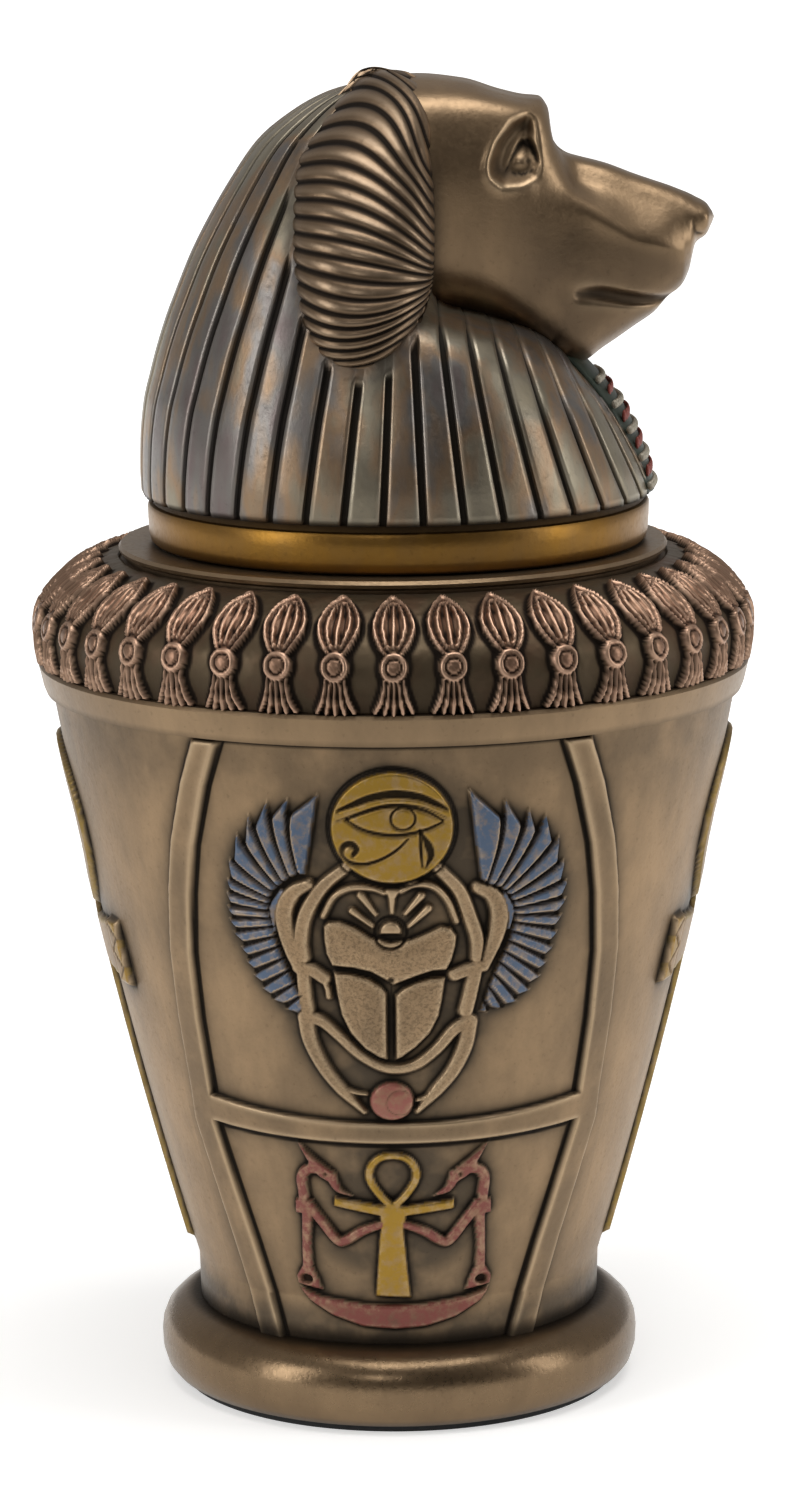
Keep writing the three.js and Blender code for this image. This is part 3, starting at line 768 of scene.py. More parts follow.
def carveSide(face):
    # a tall looped cross with gilt edges and zigzag blocks at the ends of its arms
    work = sideWork
    relief = panel["relief"]
    loop = np.abs(oval(face, work["loopPlace"], work["loopRadius"])) - work["loopWidth"]
    height, reach, near, far = work["armHeight"], work["armReach"], work["armNear"], work["armFar"]
    right = [(2.6, height + near), (reach, height + far), (reach, height - far),
             (work["stemHigh"], height - near), (work["stemLow"], work["stemBottom"])]
    left = [(-x, z) for x, z in right[::-1]]
    cross = np.minimum(loop, plate(face, [(0, height + 5)] + right + left))
    lift(face, cross, relief, 0.5)
    face["paint"][(cross < 0.05) & (cross > -work["gildWidth"])] = paints["olive"] + (0.85,)
    for sign in (-1, 1):
        inner, outer = sign * (reach - work["endBlock"]), sign * reach
        top, bottom = height + far, height - far
        block = plate(face, [(inner, top), (outer, top), (outer, bottom), (inner, bottom)])
        lift(face, block, relief * 1.15, 0.3)
        zigzag = [(inner + sign * 0.4, top - 0.4)]
        for step in range(1, 5):
            side = outer - sign * 0.5 if step % 2 else inner + sign * 0.5
            zigzag.append((side, top - 0.4 - step * (2 * far - 0.8) / 4))
        edge = outer - sign * 0.1
        beyond = plate(face, zigzag + [(edge, bottom + 0.2), (edge, top - 0.2)])
        face["paint"][(beyond < 0) & (block < -0.3)] = paints["gold"] + (0.95,)
        groove(face, stroke(face, zigzag, [0.16]), 0.3)
        onArm = np.abs(face["up"] - height) < far
        groove(face, np.abs(face["across"] - inner) + np.where(onArm, -0.2, 9), 0.25)


# jar body: slabs of carved wall that meet in plain places

jarSizes = {
    "wallBottom": (11.3, 27.6),      # height, radius
    "wallFoot": (17.3, 27.75),
    "wallTop": (97.0, 46.5),
    "wallBulge": 1.1,
    "insideProfile": [(11.3, 22.2), (18.0, 22.4), (57.0, 33.3), (97.0, 41.2)],
    "frontHalf": 54.0,               # degrees each side of the front panel
    "shoulder": [(42.0, 102.0), (41.2, 97.0), (46.5, 97.0), (47.4, 97.05), (47.75, 97.9), (48.4, 100.7),
                 (48.1, 101.2),
                 (46.9, 101.3), (47.2, 104.0), (47.2, 106.4), (46.6, 108.5), (44.9, 110.5), (42.2, 112.7),
                 (39.3, 114.1), (36.3, 114.9), (36.4, 115.5), (37.1, 115.9), (37.25, 116.35), (36.9, 116.8),
                 (29.9, 116.8), (29.5, 116.5), (29.5, 111.6), (37.0, 109.4), (42.1, 102.3)],
    "foot": [(0, 0.8), (30.6, 0.8), (31.6, 1.2), (32.4, 2.2), (32.95, 4.0), (33.05, 6.0), (32.9, 7.4),
             (32.3, 8.9),
             (31.1, 10.1), (29.7, 10.9), (28.5, 11.3), (27.3, 11.4), (22.2, 11.3), (22.2, 18.0),
             (20.5, 16.0), (0, 16.0)],
}


def wallRadius(height):
    low, high = jarSizes["wallFoot"], jarSizes["wallTop"]
    share = np.clip((height - low[0]) / (high[0] - low[0]), 0, 1)
    radius = low[1] + (high[1] - low[1]) * share + 4 * jarSizes["wallBulge"] * share * (1 - share)
    base = jarSizes["wallBottom"]
    below = base[1] + (low[1] - base[1]) * (height - base[0]) / (low[0] - base[0])
    return np.where(height < low[0], below, radius)


def carvedSlab(name, middle, halfAngle, cell, carve, low=None, high=None):
    # middle: where the slab faces, in degrees from the front towards +X
    low = low or jarSizes["wallBottom"][0]
    high = high or jarSizes["wallTop"][0]
    columns = 2 * int(round(math.radians(halfAngle) * 0.92 * wallRadius(high) / cell)) + 1
    rows = int(round((high - low) / cell)) + 1
    shareGrid, heightGrid = np.meshgrid(np.linspace(-1, 1, columns), np.linspace(low, high, rows))
    framed = carve is not carveSide
    if framed:   # columns follow the ribs and rows follow the crossbar, so their edges stay clean
        kink = 0.72
        inner = np.degrees(lookUp(panel["ribInner"], heightGrid) / wallRadius(heightGrid))
        away = np.abs(shareGrid)
        beyond = inner + (away - kink) / (1 - kink) * (halfAngle - inner)
        turned = np.where(away < kink, away / kink * inner, beyond)
        turnGrid = np.radians(turned) * np.sign(shareGrid)
    else:
        turnGrid = np.radians(shareGrid * halfAngle)
    if framed and low < 30 and high > 60:   # the slab holds the whole crossbar
        across = np.abs(turnGrid) * wallRadius(heightGrid)
        top, bottom = (panel[key][1] - panel[key][0] for key in ("barTop", "barBottom"))
        follow = lookUp([(13, 0), (30, 0), (panel["barBottom"][0], bottom / top), (panel["barTop"][0], 1),
                         (58, 0), (97, 0)], heightGrid)
        heightGrid = heightGrid + top * unit(across / panel["barHalf"]) ** 2 * follow
    radius = wallRadius(heightGrid)
    face = newFace(turnGrid * radius - (panel["shift"] if framed else 0), heightGrid, 0.12)
    carve(face)
    relief = face["height"] * smoothStep((jarSizes["wallTop"][0] - heightGrid) / 0.4)
    stepUp = (high - low) / (rows - 1)
    stepAcross = 2 * math.radians(halfAngle) * 0.9 * wallRadius(high) / columns

    def spread(grid, reach):
        return blurred(grid, reach / stepUp, reach / stepAcross)

    near, wide = spread(relief, 0.42), spread(relief, 1.1)
    hollow = 0.7 * unit((near - relief) / 0.22) ** 1.3
    hollow = unit(np.maximum(hollow, face["ink"] * 0.92) + 0.3 * unit((wide - relief) / 0.4))
    # painted shade where the wall runs down into the foot ring
    hollow = np.maximum(hollow, 0.85 * smoothStep((14.2 - heightGrid) / 2.6))
    edge = unit((relief - near) / 0.22) * unit(relief / 0.5)
    raised = unit(face["raised"])
    halo = unit((0.6 * spread(raised, 3.2) + 0.4 * spread(raised, 1.3)) * 3.0)
    # darker round the carving; painted shade high on the wall, under the shoulder, and at its foot, where it
    # runs into the foot ring
    halo = np.maximum(halo, np.maximum(face["soot"], 0.55 * smoothStep((heightGrid - 80) / 16)))
    halo = halo * (1 - raised)
    # painted shade at the wall's foot
    halo = np.maximum(halo, 0.9 * smoothStep((19.0 - heightGrid) / 5))
    carving = np.stack([hollow, edge, halo, face["stipple"]], -1)
    direction = turnGrid + math.radians(middle) - math.pi / 2
    outer = onRing(radius + relief, direction, heightGrid)
    profile = jarSizes["insideProfile"]
    levels = np.array([low] + [height for height, _ in profile if low < height < high] + [high])[:, None]
    along = (levels - low) / (high - low)
    inner = onRing(lookUp(profile, levels), direction[0] * (1 - along) + direction[-1] * along, levels)
    plain = np.zeros(inner.shape[:2] + (4,))
    # painted shade on the inside of the wall
    plain[..., 0] = 0.35
    index = np.arange(rows * columns).reshape(rows, columns)
    back = index.size + np.arange(len(levels) * columns).reshape(-1, columns)
    faces = gridFaces(index) + gridFaces(back.T) + gridFaces(np.stack([index[0], back[0]], 1))
    faces += gridFaces(np.stack([index[-1], back[-1]]))
    faces += [index[::-1, 0].tolist() + back[:, 0].tolist(), index[:, -1].tolist() + back[::-1, -1].tolist()]
    mesh = makeMesh(name, joined(outer, inner, 3), faces, joined(carving, plain, 4),
                    joined(face["paint"], np.zeros_like(plain), 4))
    rim = np.zeros(len(mesh.vertices), bool)
    for grid in (index, back):
        rim[np.concatenate([grid[0], grid[-1], grid[:, 0], grid[:, -1]])] = True
    ends = np.zeros(len(mesh.edges) * 2, int)
    mesh.edges.foreach_get("vertices", ends)
    sharp = mesh.attributes.new("sharp_edge", "BOOLEAN", "EDGE")
    sharp.data.foreach_set("value", rim[ends].reshape(-1, 2).all(1))
    return makePiece(name, mesh, "jar", "jar")


def carveFront(face):
    panelFrame(face)
    carveScarab(face)
    carveEye(face)
    carveLowerPanel(face)


def carveBack(face):
    # the unseen panel is a guess: the front's carving again, a little flatter and without the eye in the disc
    panelFrame(face)
    carveScarab(face)
    carveLowerPanel(face)
    face["height"] = face["height"] * 0.9


carvedSlab("frontWallUpper", 0, jarSizes["frontHalf"], 0.225, carveFront, low=43.0)
carvedSlab("frontWallLower", 0, jarSizes["frontHalf"], 0.24, carveFront, high=43.0)
carvedSlab("backWall", 180, jarSizes["frontHalf"], 0.4, carveBack)
carvedSlab("rightWall_side", 90, 90 - jarSizes["frontHalf"], 0.38, carveSide)
carvedSlab("leftWall_side", 270, 90 - jarSizes["frontHalf"], 0.38, carveSide)
# the last list says how dark each ring of the profile is: painted shade in the corners, under the buds and
# the flange, on the foot's underside, where the wall meets the foot, and inside
turnedPiece("shoulderRing", jarSizes["shoulder"], 240, "band", "jar",
            [0.2, 0.2, 0.6, 0.35, 0, 0, 0.5] + [0.75] * 6 + [0.5, 0.6, 0.3, 0, 0, 0, 0, 0.05] + [0.2] * 3)
turnedPiece("footRing", jarSizes["foot"], 240, "foot", "jar",
            [0.9, 0.9, 0.4, 0.1, 0, 0, 0, 0, 0, 0.15, 0.8, 1.0] + [0.5] * 4)
print("jar body carved")


# ring of lotus buds round the shoulder: one bud, repeated

budSizes = {
    "count": 40,
    # the shoulder's line under the buds, from the flange down
    "path": [(37.2, 115.2), (39.6, 114.6), (42.6, 113.2), (45.4, 111.0), (47.2, 108.8), (47.9, 106.5),
             (47.9, 104.0), (47.4, 101.2)],
    "thick": 0.9,
    "columns": 30,
    "rows": 74,
    "leafTop": 2.3, "leafFoot": 12.2, "leafHalf": 3.0,
    "rosette": (13.75, 2.0),
    "tassel": (15.5, 19.7),
    "handCarved": 0.48,
    "weld": 0.004,
}


def carveBud(face):
    # up runs down the shoulder from the flange, across is measured at the widest part
    across, down = face["across"], face["up"]
    sizes = budSizes
    top, foot, half = sizes["leafTop"], sizes["leafFoot"], sizes["leafHalf"]
    share = unit((down - top) / (foot - top))
    width = half * np.sin(np.pi * 0.86 * share) ** 0.8 + 0.02
    outline = np.where((down < top) | (down > foot), 1.0, np.abs(across) - width)
    lift(face, outline, 0.85, 0.5)
    lift(face, np.maximum(np.abs(outline + 0.42) - 0.34, outline), 1.2, 0.34)
    inner = width - 0.95

    def lengthways(place, halfWidth, start, end):
        line = np.abs(across - place * np.maximum(inner, 0)) - halfWidth
        return np.where((share < start) | (share > end), 1.0, line)

    for place in (-0.68, 0.0, 0.68):
        lift(face, lengthways(place, 0.34 * np.clip(inner / 1.4, 0.35, 1), 0.16, 0.93), 1.25, 0.34)
    groove(face, np.maximum(np.abs(outline + 0.98) - 0.16, -(share - 0.1)), 0.45)
    for place in (-0.34, 0.34):
        groove(face, lengthways(place, 0.17, 0.2, 0.9), 0.65)
    centre, radius = sizes["rosette"]
    lift(face, oval(face, (0, centre), (radius, radius)), 1.25, 0.5)
    groove(face, np.abs(oval(face, (0, centre), (1.0, 1.0))) - 0.16, 0.4, 0.25)
    lift(face, oval(face, (0, centre), (0.62, 0.62)), 1.3, 0.4)
    start, end = sizes["tassel"]
    for spread in (-1, -0.5, 0, 0.5, 1):
        line = [(spread * 1.1, start - 0.6), (spread * 1.55, (start + end) / 2),
                (spread * 2.4, end - 0.2 * abs(spread))]
        lift(face, curvedStroke(face, line, [0.28, 0.34, 0.46, 0.38], 3), 1.25 - 0.2 * abs(spread), 0.36)


def budMesh():
    sizes = budSizes
    path = np.array(curveThrough(sizes["path"], 8))
    lengths = lineLengths(path)
    down = np.linspace(0, lengths[-1], sizes["rows"])
    radius, height = np.interp(down, lengths, path[:, 0]), np.interp(down, lengths, path[:, 1])
    normal = np.stack([-np.gradient(height, down), np.gradient(radius, down)], -1)
    normal /= np.linalg.norm(normal, axis=1)[:, None]
    half = math.pi / sizes["count"]
    turnGrid, downGrid = np.meshgrid(np.linspace(-half, half, sizes["columns"] + 1), down)
    face = newFace(turnGrid * np.maximum(radius, 46.0)[:, None], downGrid)
    carveBud(face)
    fade = smoothStep((half - np.abs(turnGrid)) / (half * 0.1))
    fade = fade * smoothStep(downGrid / 0.8) * smoothStep((lengths[-1] - downGrid) / 0.3)
    relief = face["height"] * fade
    near, wide = blurred(relief, 1.6, 1.6), blurred(relief, 4.5, 4.5)
    hollow = unit((near - relief) / 0.12) + unit((wide - relief) / 0.4) * 0.6
    hollow = unit(np.maximum(hollow, face["ink"] * 0.9))
    ground = 1 - unit(face["raised"])
    hollow = np.maximum(hollow, ground * np.clip(0.36 + 0.3 * (downGrid - 14) / 5, 0.3, 0.7))
    marks = np.stack([hollow, unit((relief - near) / 0.2), ground * 0.95, np.zeros_like(relief)], -1)
    direction = turnGrid - math.pi / 2
    raisedBy = relief[..., None] * normal[:, None]
    outer = onRing(radius[:, None] + raisedBy[..., 0], direction, height[:, None] + raisedBy[..., 1])
    picks = [0, sizes["rows"] // 3, 2 * sizes["rows"] // 3, sizes["rows"] - 1]
    sunk = np.stack([radius, height], 1)[picks] - sizes["thick"] * normal[picks]
    under = onRing(sunk[:, :1], direction[0], sunk[:, 1:])
    index = np.arange(turnGrid.size).reshape(turnGrid.shape)
    back = index.size + np.arange(under[..., 0].size).reshape(len(picks), -1)
    faces = gridFaces(index.T) + gridFaces(back) + gridFaces(np.stack([index[0], back[0]]))
    faces += gridFaces(np.stack([index[-1], back[-1]], 1))
    return makeMesh("lotusBud", joined(outer, under, 3), faces, joined(marks, np.zeros(back.shape + (4,)), 4))


def newRepeatTree(name, inputs):
    tree = bpy.data.node_groups.new(name, "GeometryNodeTree")
    tree.interface.new_socket("Geometry", in_out="OUTPUT", socket_type="NodeSocketGeometry")
    inputs = {"Geometry": ("Geometry", None), **inputs, "Finish": ("Material", None)}
    for label, (kind, value) in inputs.items():
        socket = tree.interface.new_socket(label, in_out="INPUT", socket_type="NodeSocket" + kind)
        if value is not None:
            socket.default_value = value
    return tree, addNode(tree, "NodeGroupInput").outputs


def repeated(tree, places, instance, turn, **inputs):
    # a real copy of the instance at each place, turned about the upright axis
    angle = addNode(tree, "ShaderNodeCombineXYZ", {"Z": turn}).outputs[0]
    rotation = addNode(tree, "FunctionNodeEulerToRotation", {0: angle}).outputs[0]
    copies = addNode(tree, "GeometryNodeInstanceOnPoints", {
        "Points": places, "Instance": instance, "Rotation": rotation, **inputs,
    })
    return addNode(tree, "GeometryNodeRealizeInstances", {0: copies.outputs[0]}).outputs[0]


def coated(tree, given, geometry):
    coat = addNode(tree, "GeometryNodeSetMaterial", {"Geometry": geometry, "Material": given["Finish"]})
    addNode(tree, "NodeGroupOutput", {0: coat.outputs[0]})


def applyTree(name, mesh, tree, values, node):
    # runs the tree on the mesh and keeps its result as a plain mesh
    source = newObject(name + "Source", mesh)
    modifier = source.modifiers.new("repeat", "NODES")
    modifier.node_group = tree
    for item in tree.interface.items_tree:
        if item.in_out == "INPUT" and item.name in values:
            modifier[item.identifier] = values[item.name]
    depsgraph = bpy.context.evaluated_depsgraph_get()
    result = bpy.data.meshes.new_from_object(source.evaluated_get(depsgraph))
    result.name = name
    bpy.data.objects.remove(source)
    return placePiece(name, result, node)


def budRingTree():
    tree, given = newRepeatTree("budRing", {
        "Count": ("Int", 40), "Hand Carved": ("Float", 0.0001), "Seed": ("Float", 3.0),
    })
    places = addNode(tree, "GeometryNodeMeshLine", {"Offset": (0, 0, 0), "Count": given["Count"]},
                     mode="OFFSET")
    pitch = plus(tree, 2 * math.pi, given["Count"], operation="DIVIDE")
    turn = times(tree, addNode(tree, "GeometryNodeInputIndex").outputs[0], pitch)
    ring = repeated(tree, places.outputs["Mesh"], given["Geometry"], turn)
    weld = addNode(tree, "GeometryNodeMergeByDistance", {"Geometry": ring, "Distance": budSizes["weld"] * mm})
    noise = addNode(tree, "ShaderNodeTexNoise", {"Scale": 260, "W": given["Seed"]}, noise_dimensions="4D")
    shift = addNode(tree, "ShaderNodeVectorMath", {0: noise.outputs["Color"], 1: (0.5, 0.5, 0.5)},
                    operation="SUBTRACT")
    scale = addNode(tree, "ShaderNodeVectorMath", {0: shift.outputs[0], "Scale": given["Hand Carved"]},
                    operation="SCALE")
    move = addNode(tree, "GeometryNodeSetPosition", {"Geometry": weld.outputs[0], "Offset": scale.outputs[0]})
    coated(tree, given, move.outputs[0])
    return tree


applyTree("lotusBuds", budMesh(), budRingTree(), {
    "Count": budSizes["count"], "Hand Carved": budSizes["handCarved"] * mm, "Finish": finishes["bud"],
}, "jar")
print("buds set round the shoulder")


lidSizes = {
    "shift": 0.8,                # the lid's axis, towards +X
    "band": [(0, 113.1), (27.8, 113.1), (28.2, 113.5), (28.2, 117.1), (33.2, 117.1), (33.6, 117.5),
             (33.85, 118.6),
             (33.95, 120.4), (34.0, 122.0), (33.8, 122.4), (33.35, 122.6), (33.3, 124.2), (0, 124.2)],
}


wigSizes = {
    # height, reach back, reach forward, half width from the lid's axis
    "sections": [(123.5, 34.75, 34.5, 34.75), (127.0, 34.9, 33.6, 34.7), (131.0, 34.8, 31.5, 34.2),
                 (136.0, 34.3, 28.2, 33.0),
                 (140.6, 33.2, 24.1, 31.5), (143.5, 32.4, 21.8, 30.6), (146.0, 31.6, 18.5, 29.6),
                 (148.0, 30.9, 12.8, 28.8),
                 (150.0, 30.1, 6.4, 27.8), (152.0, 29.3, 5.1, 26.9), (156.0, 27.6, 4.9, 25.2),
                 (161.0, 25.0, 4.9, 23.0), (166.0, 22.0, 4.6, 20.0), (171.0, 18.4, 3.8, 16.6),
                 (175.0, 13.4, 2.8, 12.2),
                 (177.3, 9.0, 1.6, 8.0), (178.3, 5.6, 0.4, 4.8)],
    # height, forward place
    "widest": [(123.5, 0), (141.0, -4), (151.0, -7), (161.0, -8.5), (171.0, -7), (178.3, -2.5)],
    "strips": 42,
    "phase": 5.1,                # degrees from the front towards +X
    # across the groove in its half widths, then across the rest as a share of the strip, with the depth
    "grooveShape": [(-1.0, 0.0), (-0.86, 0.35), (-0.66, 0.95), (0.0, 1.0), (0.66, 0.95), (0.86, 0.35),
                    (1.0, 0.0)],
    "stripShape": [(0.24, -0.06), (0.5, -0.08), (0.76, -0.06)],
    "grooveHalf": 0.58,
    "grooveDepth": 0.62,
    "gather": 74.0,
    "crowding": 0.42,
    "rowHeight": 0.42,
}

rollSizes = {
    "centre": (-4.35, 161.6),            # forward, height
    "reach": (9.4, 18.7),
    # height, place of its core
    "aside": [(142.0, 27.8), (151.0, 24.4), (161.0, 19.4), (171.0, 12.2), (180.4, 3.2)],
    "thick": 8.9,
    "ribs": 23.0,
    "ribHeight": 0.72,
    # where each rib starts at the back, where it ends at the face, and how far it bows up
    "ribPaths": [(-1, -1, 0), (-0.85, -0.70, -0.12), (-0.645, -0.52, -0.15), (-0.475, -0.44, -0.14),
                 (-0.33, -0.40, -0.08),
                 (-0.19, -0.365, 0.01), (0.04, -0.29, 0.10), (0.28, -0.15, 0.19), (0.52, 0.04, 0.28),
                 (0.76, 0.28, 0.34),
                 (0.92, 0.60, 0.24),
                 (1, 1, 0)],
}


def steadyCurve(xs, ys, wanted):
    # a smooth curve through the points that never overshoots them
    xs, ys = np.asarray(xs, float), np.asarray(ys, float)
    steps = np.diff(xs)
    slopes = np.diff(ys, axis=0) / steps[:, None]
    before, after = slopes[:-1], slopes[1:]
    steady = before * after > 0
    mean = np.where(steady, 2 * before * after / np.where(steady, before + after, 1), 0)
    tangents = np.concatenate([slopes[:1], mean, slopes[-1:]])
    place = np.clip(np.searchsorted(xs, wanted) - 1, 0, len(xs) - 2)
    t = ((wanted - xs[place]) / steps[place])[:, None]
    width = steps[place][:, None]
    a, b = ys[place], ys[place + 1]
    return ((1 + 2 * t) * (1 - t) ** 2 * a + t * (1 - t) ** 2 * width * tangents[place]
            + t * t * (3 - 2 * t) * b + t * t * (t - 1) * width * tangents[place + 1])


def wigPoint(turn, heights, back, forward, half):
    # strips run straight up the lappets and gather behind towards the crown
    rise = (heights - heights[0])[:, None]
    ahead = np.clip(np.cos(turn), 0, 1) * forward[0] * 1.06
    behind = np.clip(-np.cos(turn), 0, 1)
    line = ahead * (1 - rise / wigSizes["gather"])
    reach = forward[:, None]
    line = line / (1 + (line / reach) ** 24) ** (1 / 24)
    x = line - back[:, None] * behind ** (1 + wigSizes["crowding"] * rise / 38.5)
    widest = np.array(wigSizes["widest"])
    middle = steadyCurve(widest[:, 0], widest[:, 1:], heights)
    ahead = x > middle
    length = np.where(ahead, reach - middle, back[:, None] + middle)
    squarer = 0.6 * smoothStep(rise / 18) * smoothStep((56 - rise) / 20)
    power = np.where(ahead, 2 + squarer, 2 + 0.3 * rise / 56)
    inside = np.clip(np.abs((x - middle) / length), 0, 0.99995)
    y = np.sign(np.sin(turn)) * half[:, None] * (1 - inside ** power) ** (1 / power)
    return x, y, middle, length, power


def makeWig():
    sizes = wigSizes
    table = np.array(sizes["sections"])
    heights = np.arange(table[0, 0], table[-1, 0], sizes["rowHeight"])
    reach = steadyCurve(table[:, 0], table[:, 1:], heights)
    back, forward, half = reach.T
    strips = sizes["strips"]
    start = -math.pi / 2 + math.radians(sizes["phase"])
    whole = start + np.arange(strips + 1) * 2 * math.pi / strips
    lineX, lineY = wigPoint(np.repeat(whole[None, :], len(heights), 0), heights, back, forward, half)[:2]
    stripWidth = np.clip(np.hypot(np.diff(lineX, axis=1), np.diff(lineY, axis=1)), 0.3, 9)
    stripWidth = 0.5 * (stripWidth + np.roll(stripWidth, 1, 1))
    groove = np.clip(sizes["grooveHalf"] / stripWidth, 0.03, 0.2)[..., None]
    shape, flat = np.array(sizes["grooveShape"]), np.array(sizes["stripShape"])
    offsets = np.concatenate([groove * shape[:, 0], np.broadcast_to(flat[:, 0], groove.shape[:2] + (3,))], -1)
    depth = np.concatenate([shape[:, 1], flat[:, 1]])
    turn = start + (np.arange(strips)[None, :, None] + offsets) * 2 * math.pi / strips
    turn = turn.reshape(len(heights), -1)
    widthAll = np.repeat(stripWidth, len(depth), 1)
    sunk = np.tile(depth, strips) * sizes["grooveDepth"] * np.clip(widthAll / 2.6, 0.2, 1)
    x, y, middle, length, power = wigPoint(turn, heights, back, forward, half)
    z = np.repeat(heights[:, None], turn.shape[1], 1)
    roll = rollSizes
    aside = np.hypot((x - roll["centre"][0]) / roll["reach"][0], (z - roll["centre"][1]) / roll["reach"][1])
    nearRoll = np.where(z > 172, 1.0, smoothStep((aside - 1.03) / 0.07))   # no grooves under the rolls
    foot = smoothStep((heights - heights[0]) / 0.8)[:, None]
    sunk = np.where(sunk > 0, sunk * nearRoll, sunk) + (1 - foot) * 0.35
    across = (x - middle) / length
    outX = np.sign(across) * np.abs(across) ** (power - 1) / length
    outY = np.sign(y) * np.abs(y / half[:, None]) ** (power - 1) / half[:, None]
    size = np.hypot(outX, outY) + 1e-9
    points = np.stack([x - sunk * outX / size + lidSizes["shift"], y - sunk * outY / size, z], -1)
    marks = np.zeros(x.shape + (4,))
    marks[..., 0] = unit(np.tile(unit(depth * 1.25), strips) * np.maximum(nearRoll, 0.15))
    # painted shade along the wig's foot, where it sits on the band
    marks[..., 0] = np.maximum(marks[..., 0], (1 - foot) * 0.9)
    marks[..., 1] = np.tile([0.3, 0.05, 0, 0, 0, 0.05, 0.3, 0, 0, 0], strips) * foot
    # painted shade on the wig under the hair rolls
    marks[..., 2] = 0.55 * (1 - nearRoll)
    axis = np.array([lidSizes["shift"], 0])
    # the underside ring and the bottom cap are painted fully dark: painted shade under the wig
    under, dark = points[:1].copy(), np.zeros_like(marks[:1])
    under[..., :2] = (under[..., :2] - axis) * 0.955 + axis
    dark[..., 0] = 1.0
    ends = [[axis[0], 0, heights[0]], [axis[0] - 2.0, 0, heights[-1] + 0.45]]
    points, marks = np.concatenate([under, points]), np.concatenate([dark, marks])
    mesh = tubeMesh("stripedWig", points, marks, ends, (1.0, 0.0))
    return makePiece("stripedWig", mesh, "steel", "lid")


def makeRoll(name, side):
    sizes = rollSizes
    reachX, reachZ = sizes["reach"]
    centreZ = sizes["centre"][1]
    if side > 0:      # the unseen roll is a guess: a little lower, so that it stays behind the near one
        reachZ, centreZ = reachZ - 0.8, centreZ - 0.8
    sweep = np.linspace(0, math.pi, 400)
    arc = lineLengths(np.stack([np.sin(sweep) * reachX, np.cos(sweep) * reachZ], 1))
    rows = int(sizes["ribs"] * 10)
    share = np.linspace(0, 1, rows + 2)[1:-1]
    start = -np.cos(np.interp(share * arc[-1], arc, sweep))
    paths = np.array(sizes["ribPaths"])
    end, bow = (np.interp(start, paths[:, 0], paths[:, column]) for column in (1, 2))
    across = np.sin(np.linspace(-1, 1, 65) * math.pi / 2)
    back = across[1:-1:6][::-1]
    shareGrid, acrossGrid = np.meshgrid(share, np.concatenate([across, back]), indexing="ij")
    outward = np.arange(acrossGrid.shape[1]) < len(across)   # the rest is the roll's inner sheet
    along = (acrossGrid + 1) / 2
    edge = start[:, None] * (1 - along) + end[:, None] * along
    full = np.where(edge < 0, np.where(acrossGrid < 0, 3.4, 2.6), 2.4)
    u = acrossGrid * unit(1 - np.abs(edge) ** full) ** (1 / full)
    w = edge + bow[:, None] * (1 - acrossGrid ** 2)
    rise = unit(1 - u * u - np.abs(w) ** 2.4) ** 0.42
    bump = unit(np.sin(math.pi * (shareGrid * sizes["ribs"] % 1))) ** 0.4
    fromRim = 1 - np.abs(acrossGrid)
    strength = np.where(outward, 0.3 + 0.7 * smoothStep(fromRim / 0.08), 0.3)
    height = sizes["ribHeight"] * (bump - 0.8) * strength
    deep = np.where(outward, sizes["thick"], -5.0)
    normal = np.stack([u / reachX, np.maximum(rise, 0.15) ** 2 / deep, w / reachZ], -1)
    normal /= np.linalg.norm(normal, axis=-1)[..., None] + 1e-9
    forwardShift = 3.4 * smoothStep((w - 0.35) / 0.6) - 0.9 * smoothStep((-w - 0.4) / 0.5)
    x = u * reachX + height * normal[..., 0] + forwardShift
    z = w * reachZ + height * normal[..., 2] + centreZ
    y = rise * deep + height * normal[..., 1] + lookUp(sizes["aside"], z)
    points = np.stack([x + sizes["centre"][0] + lidSizes["shift"], side * y, z], -1)
    marks = np.zeros(x.shape + (4,))
    # dark grooves between the ribs; painted shade along the rim and on the inner sheet, where the roll meets
    # the wig
    dark = unit((0.74 - bump ** 2) / 0.28) + 0.7 * (1 - smoothStep(fromRim / 0.04))
    marks[..., 0] = np.where(outward, unit(dark), 0.9)
    marks[..., 0] = unit(marks[..., 0] + 0.7 * (1 - smoothStep((1 - shareGrid) / 0.05)))
    marks[..., 1] = unit((bump ** 2 - 0.86) / 0.14) * 0.45 * outward * smoothStep((1 - shareGrid) / 0.08)
    tips = np.stack([points[0].mean(0), points[-1].mean(0)])
    tips[:, 2] += (-0.25, 0.25)
    mesh = tubeMesh(name, points, marks, tips, mirrored=side > 0)
    return makePiece(name, mesh, "roll", "lid")


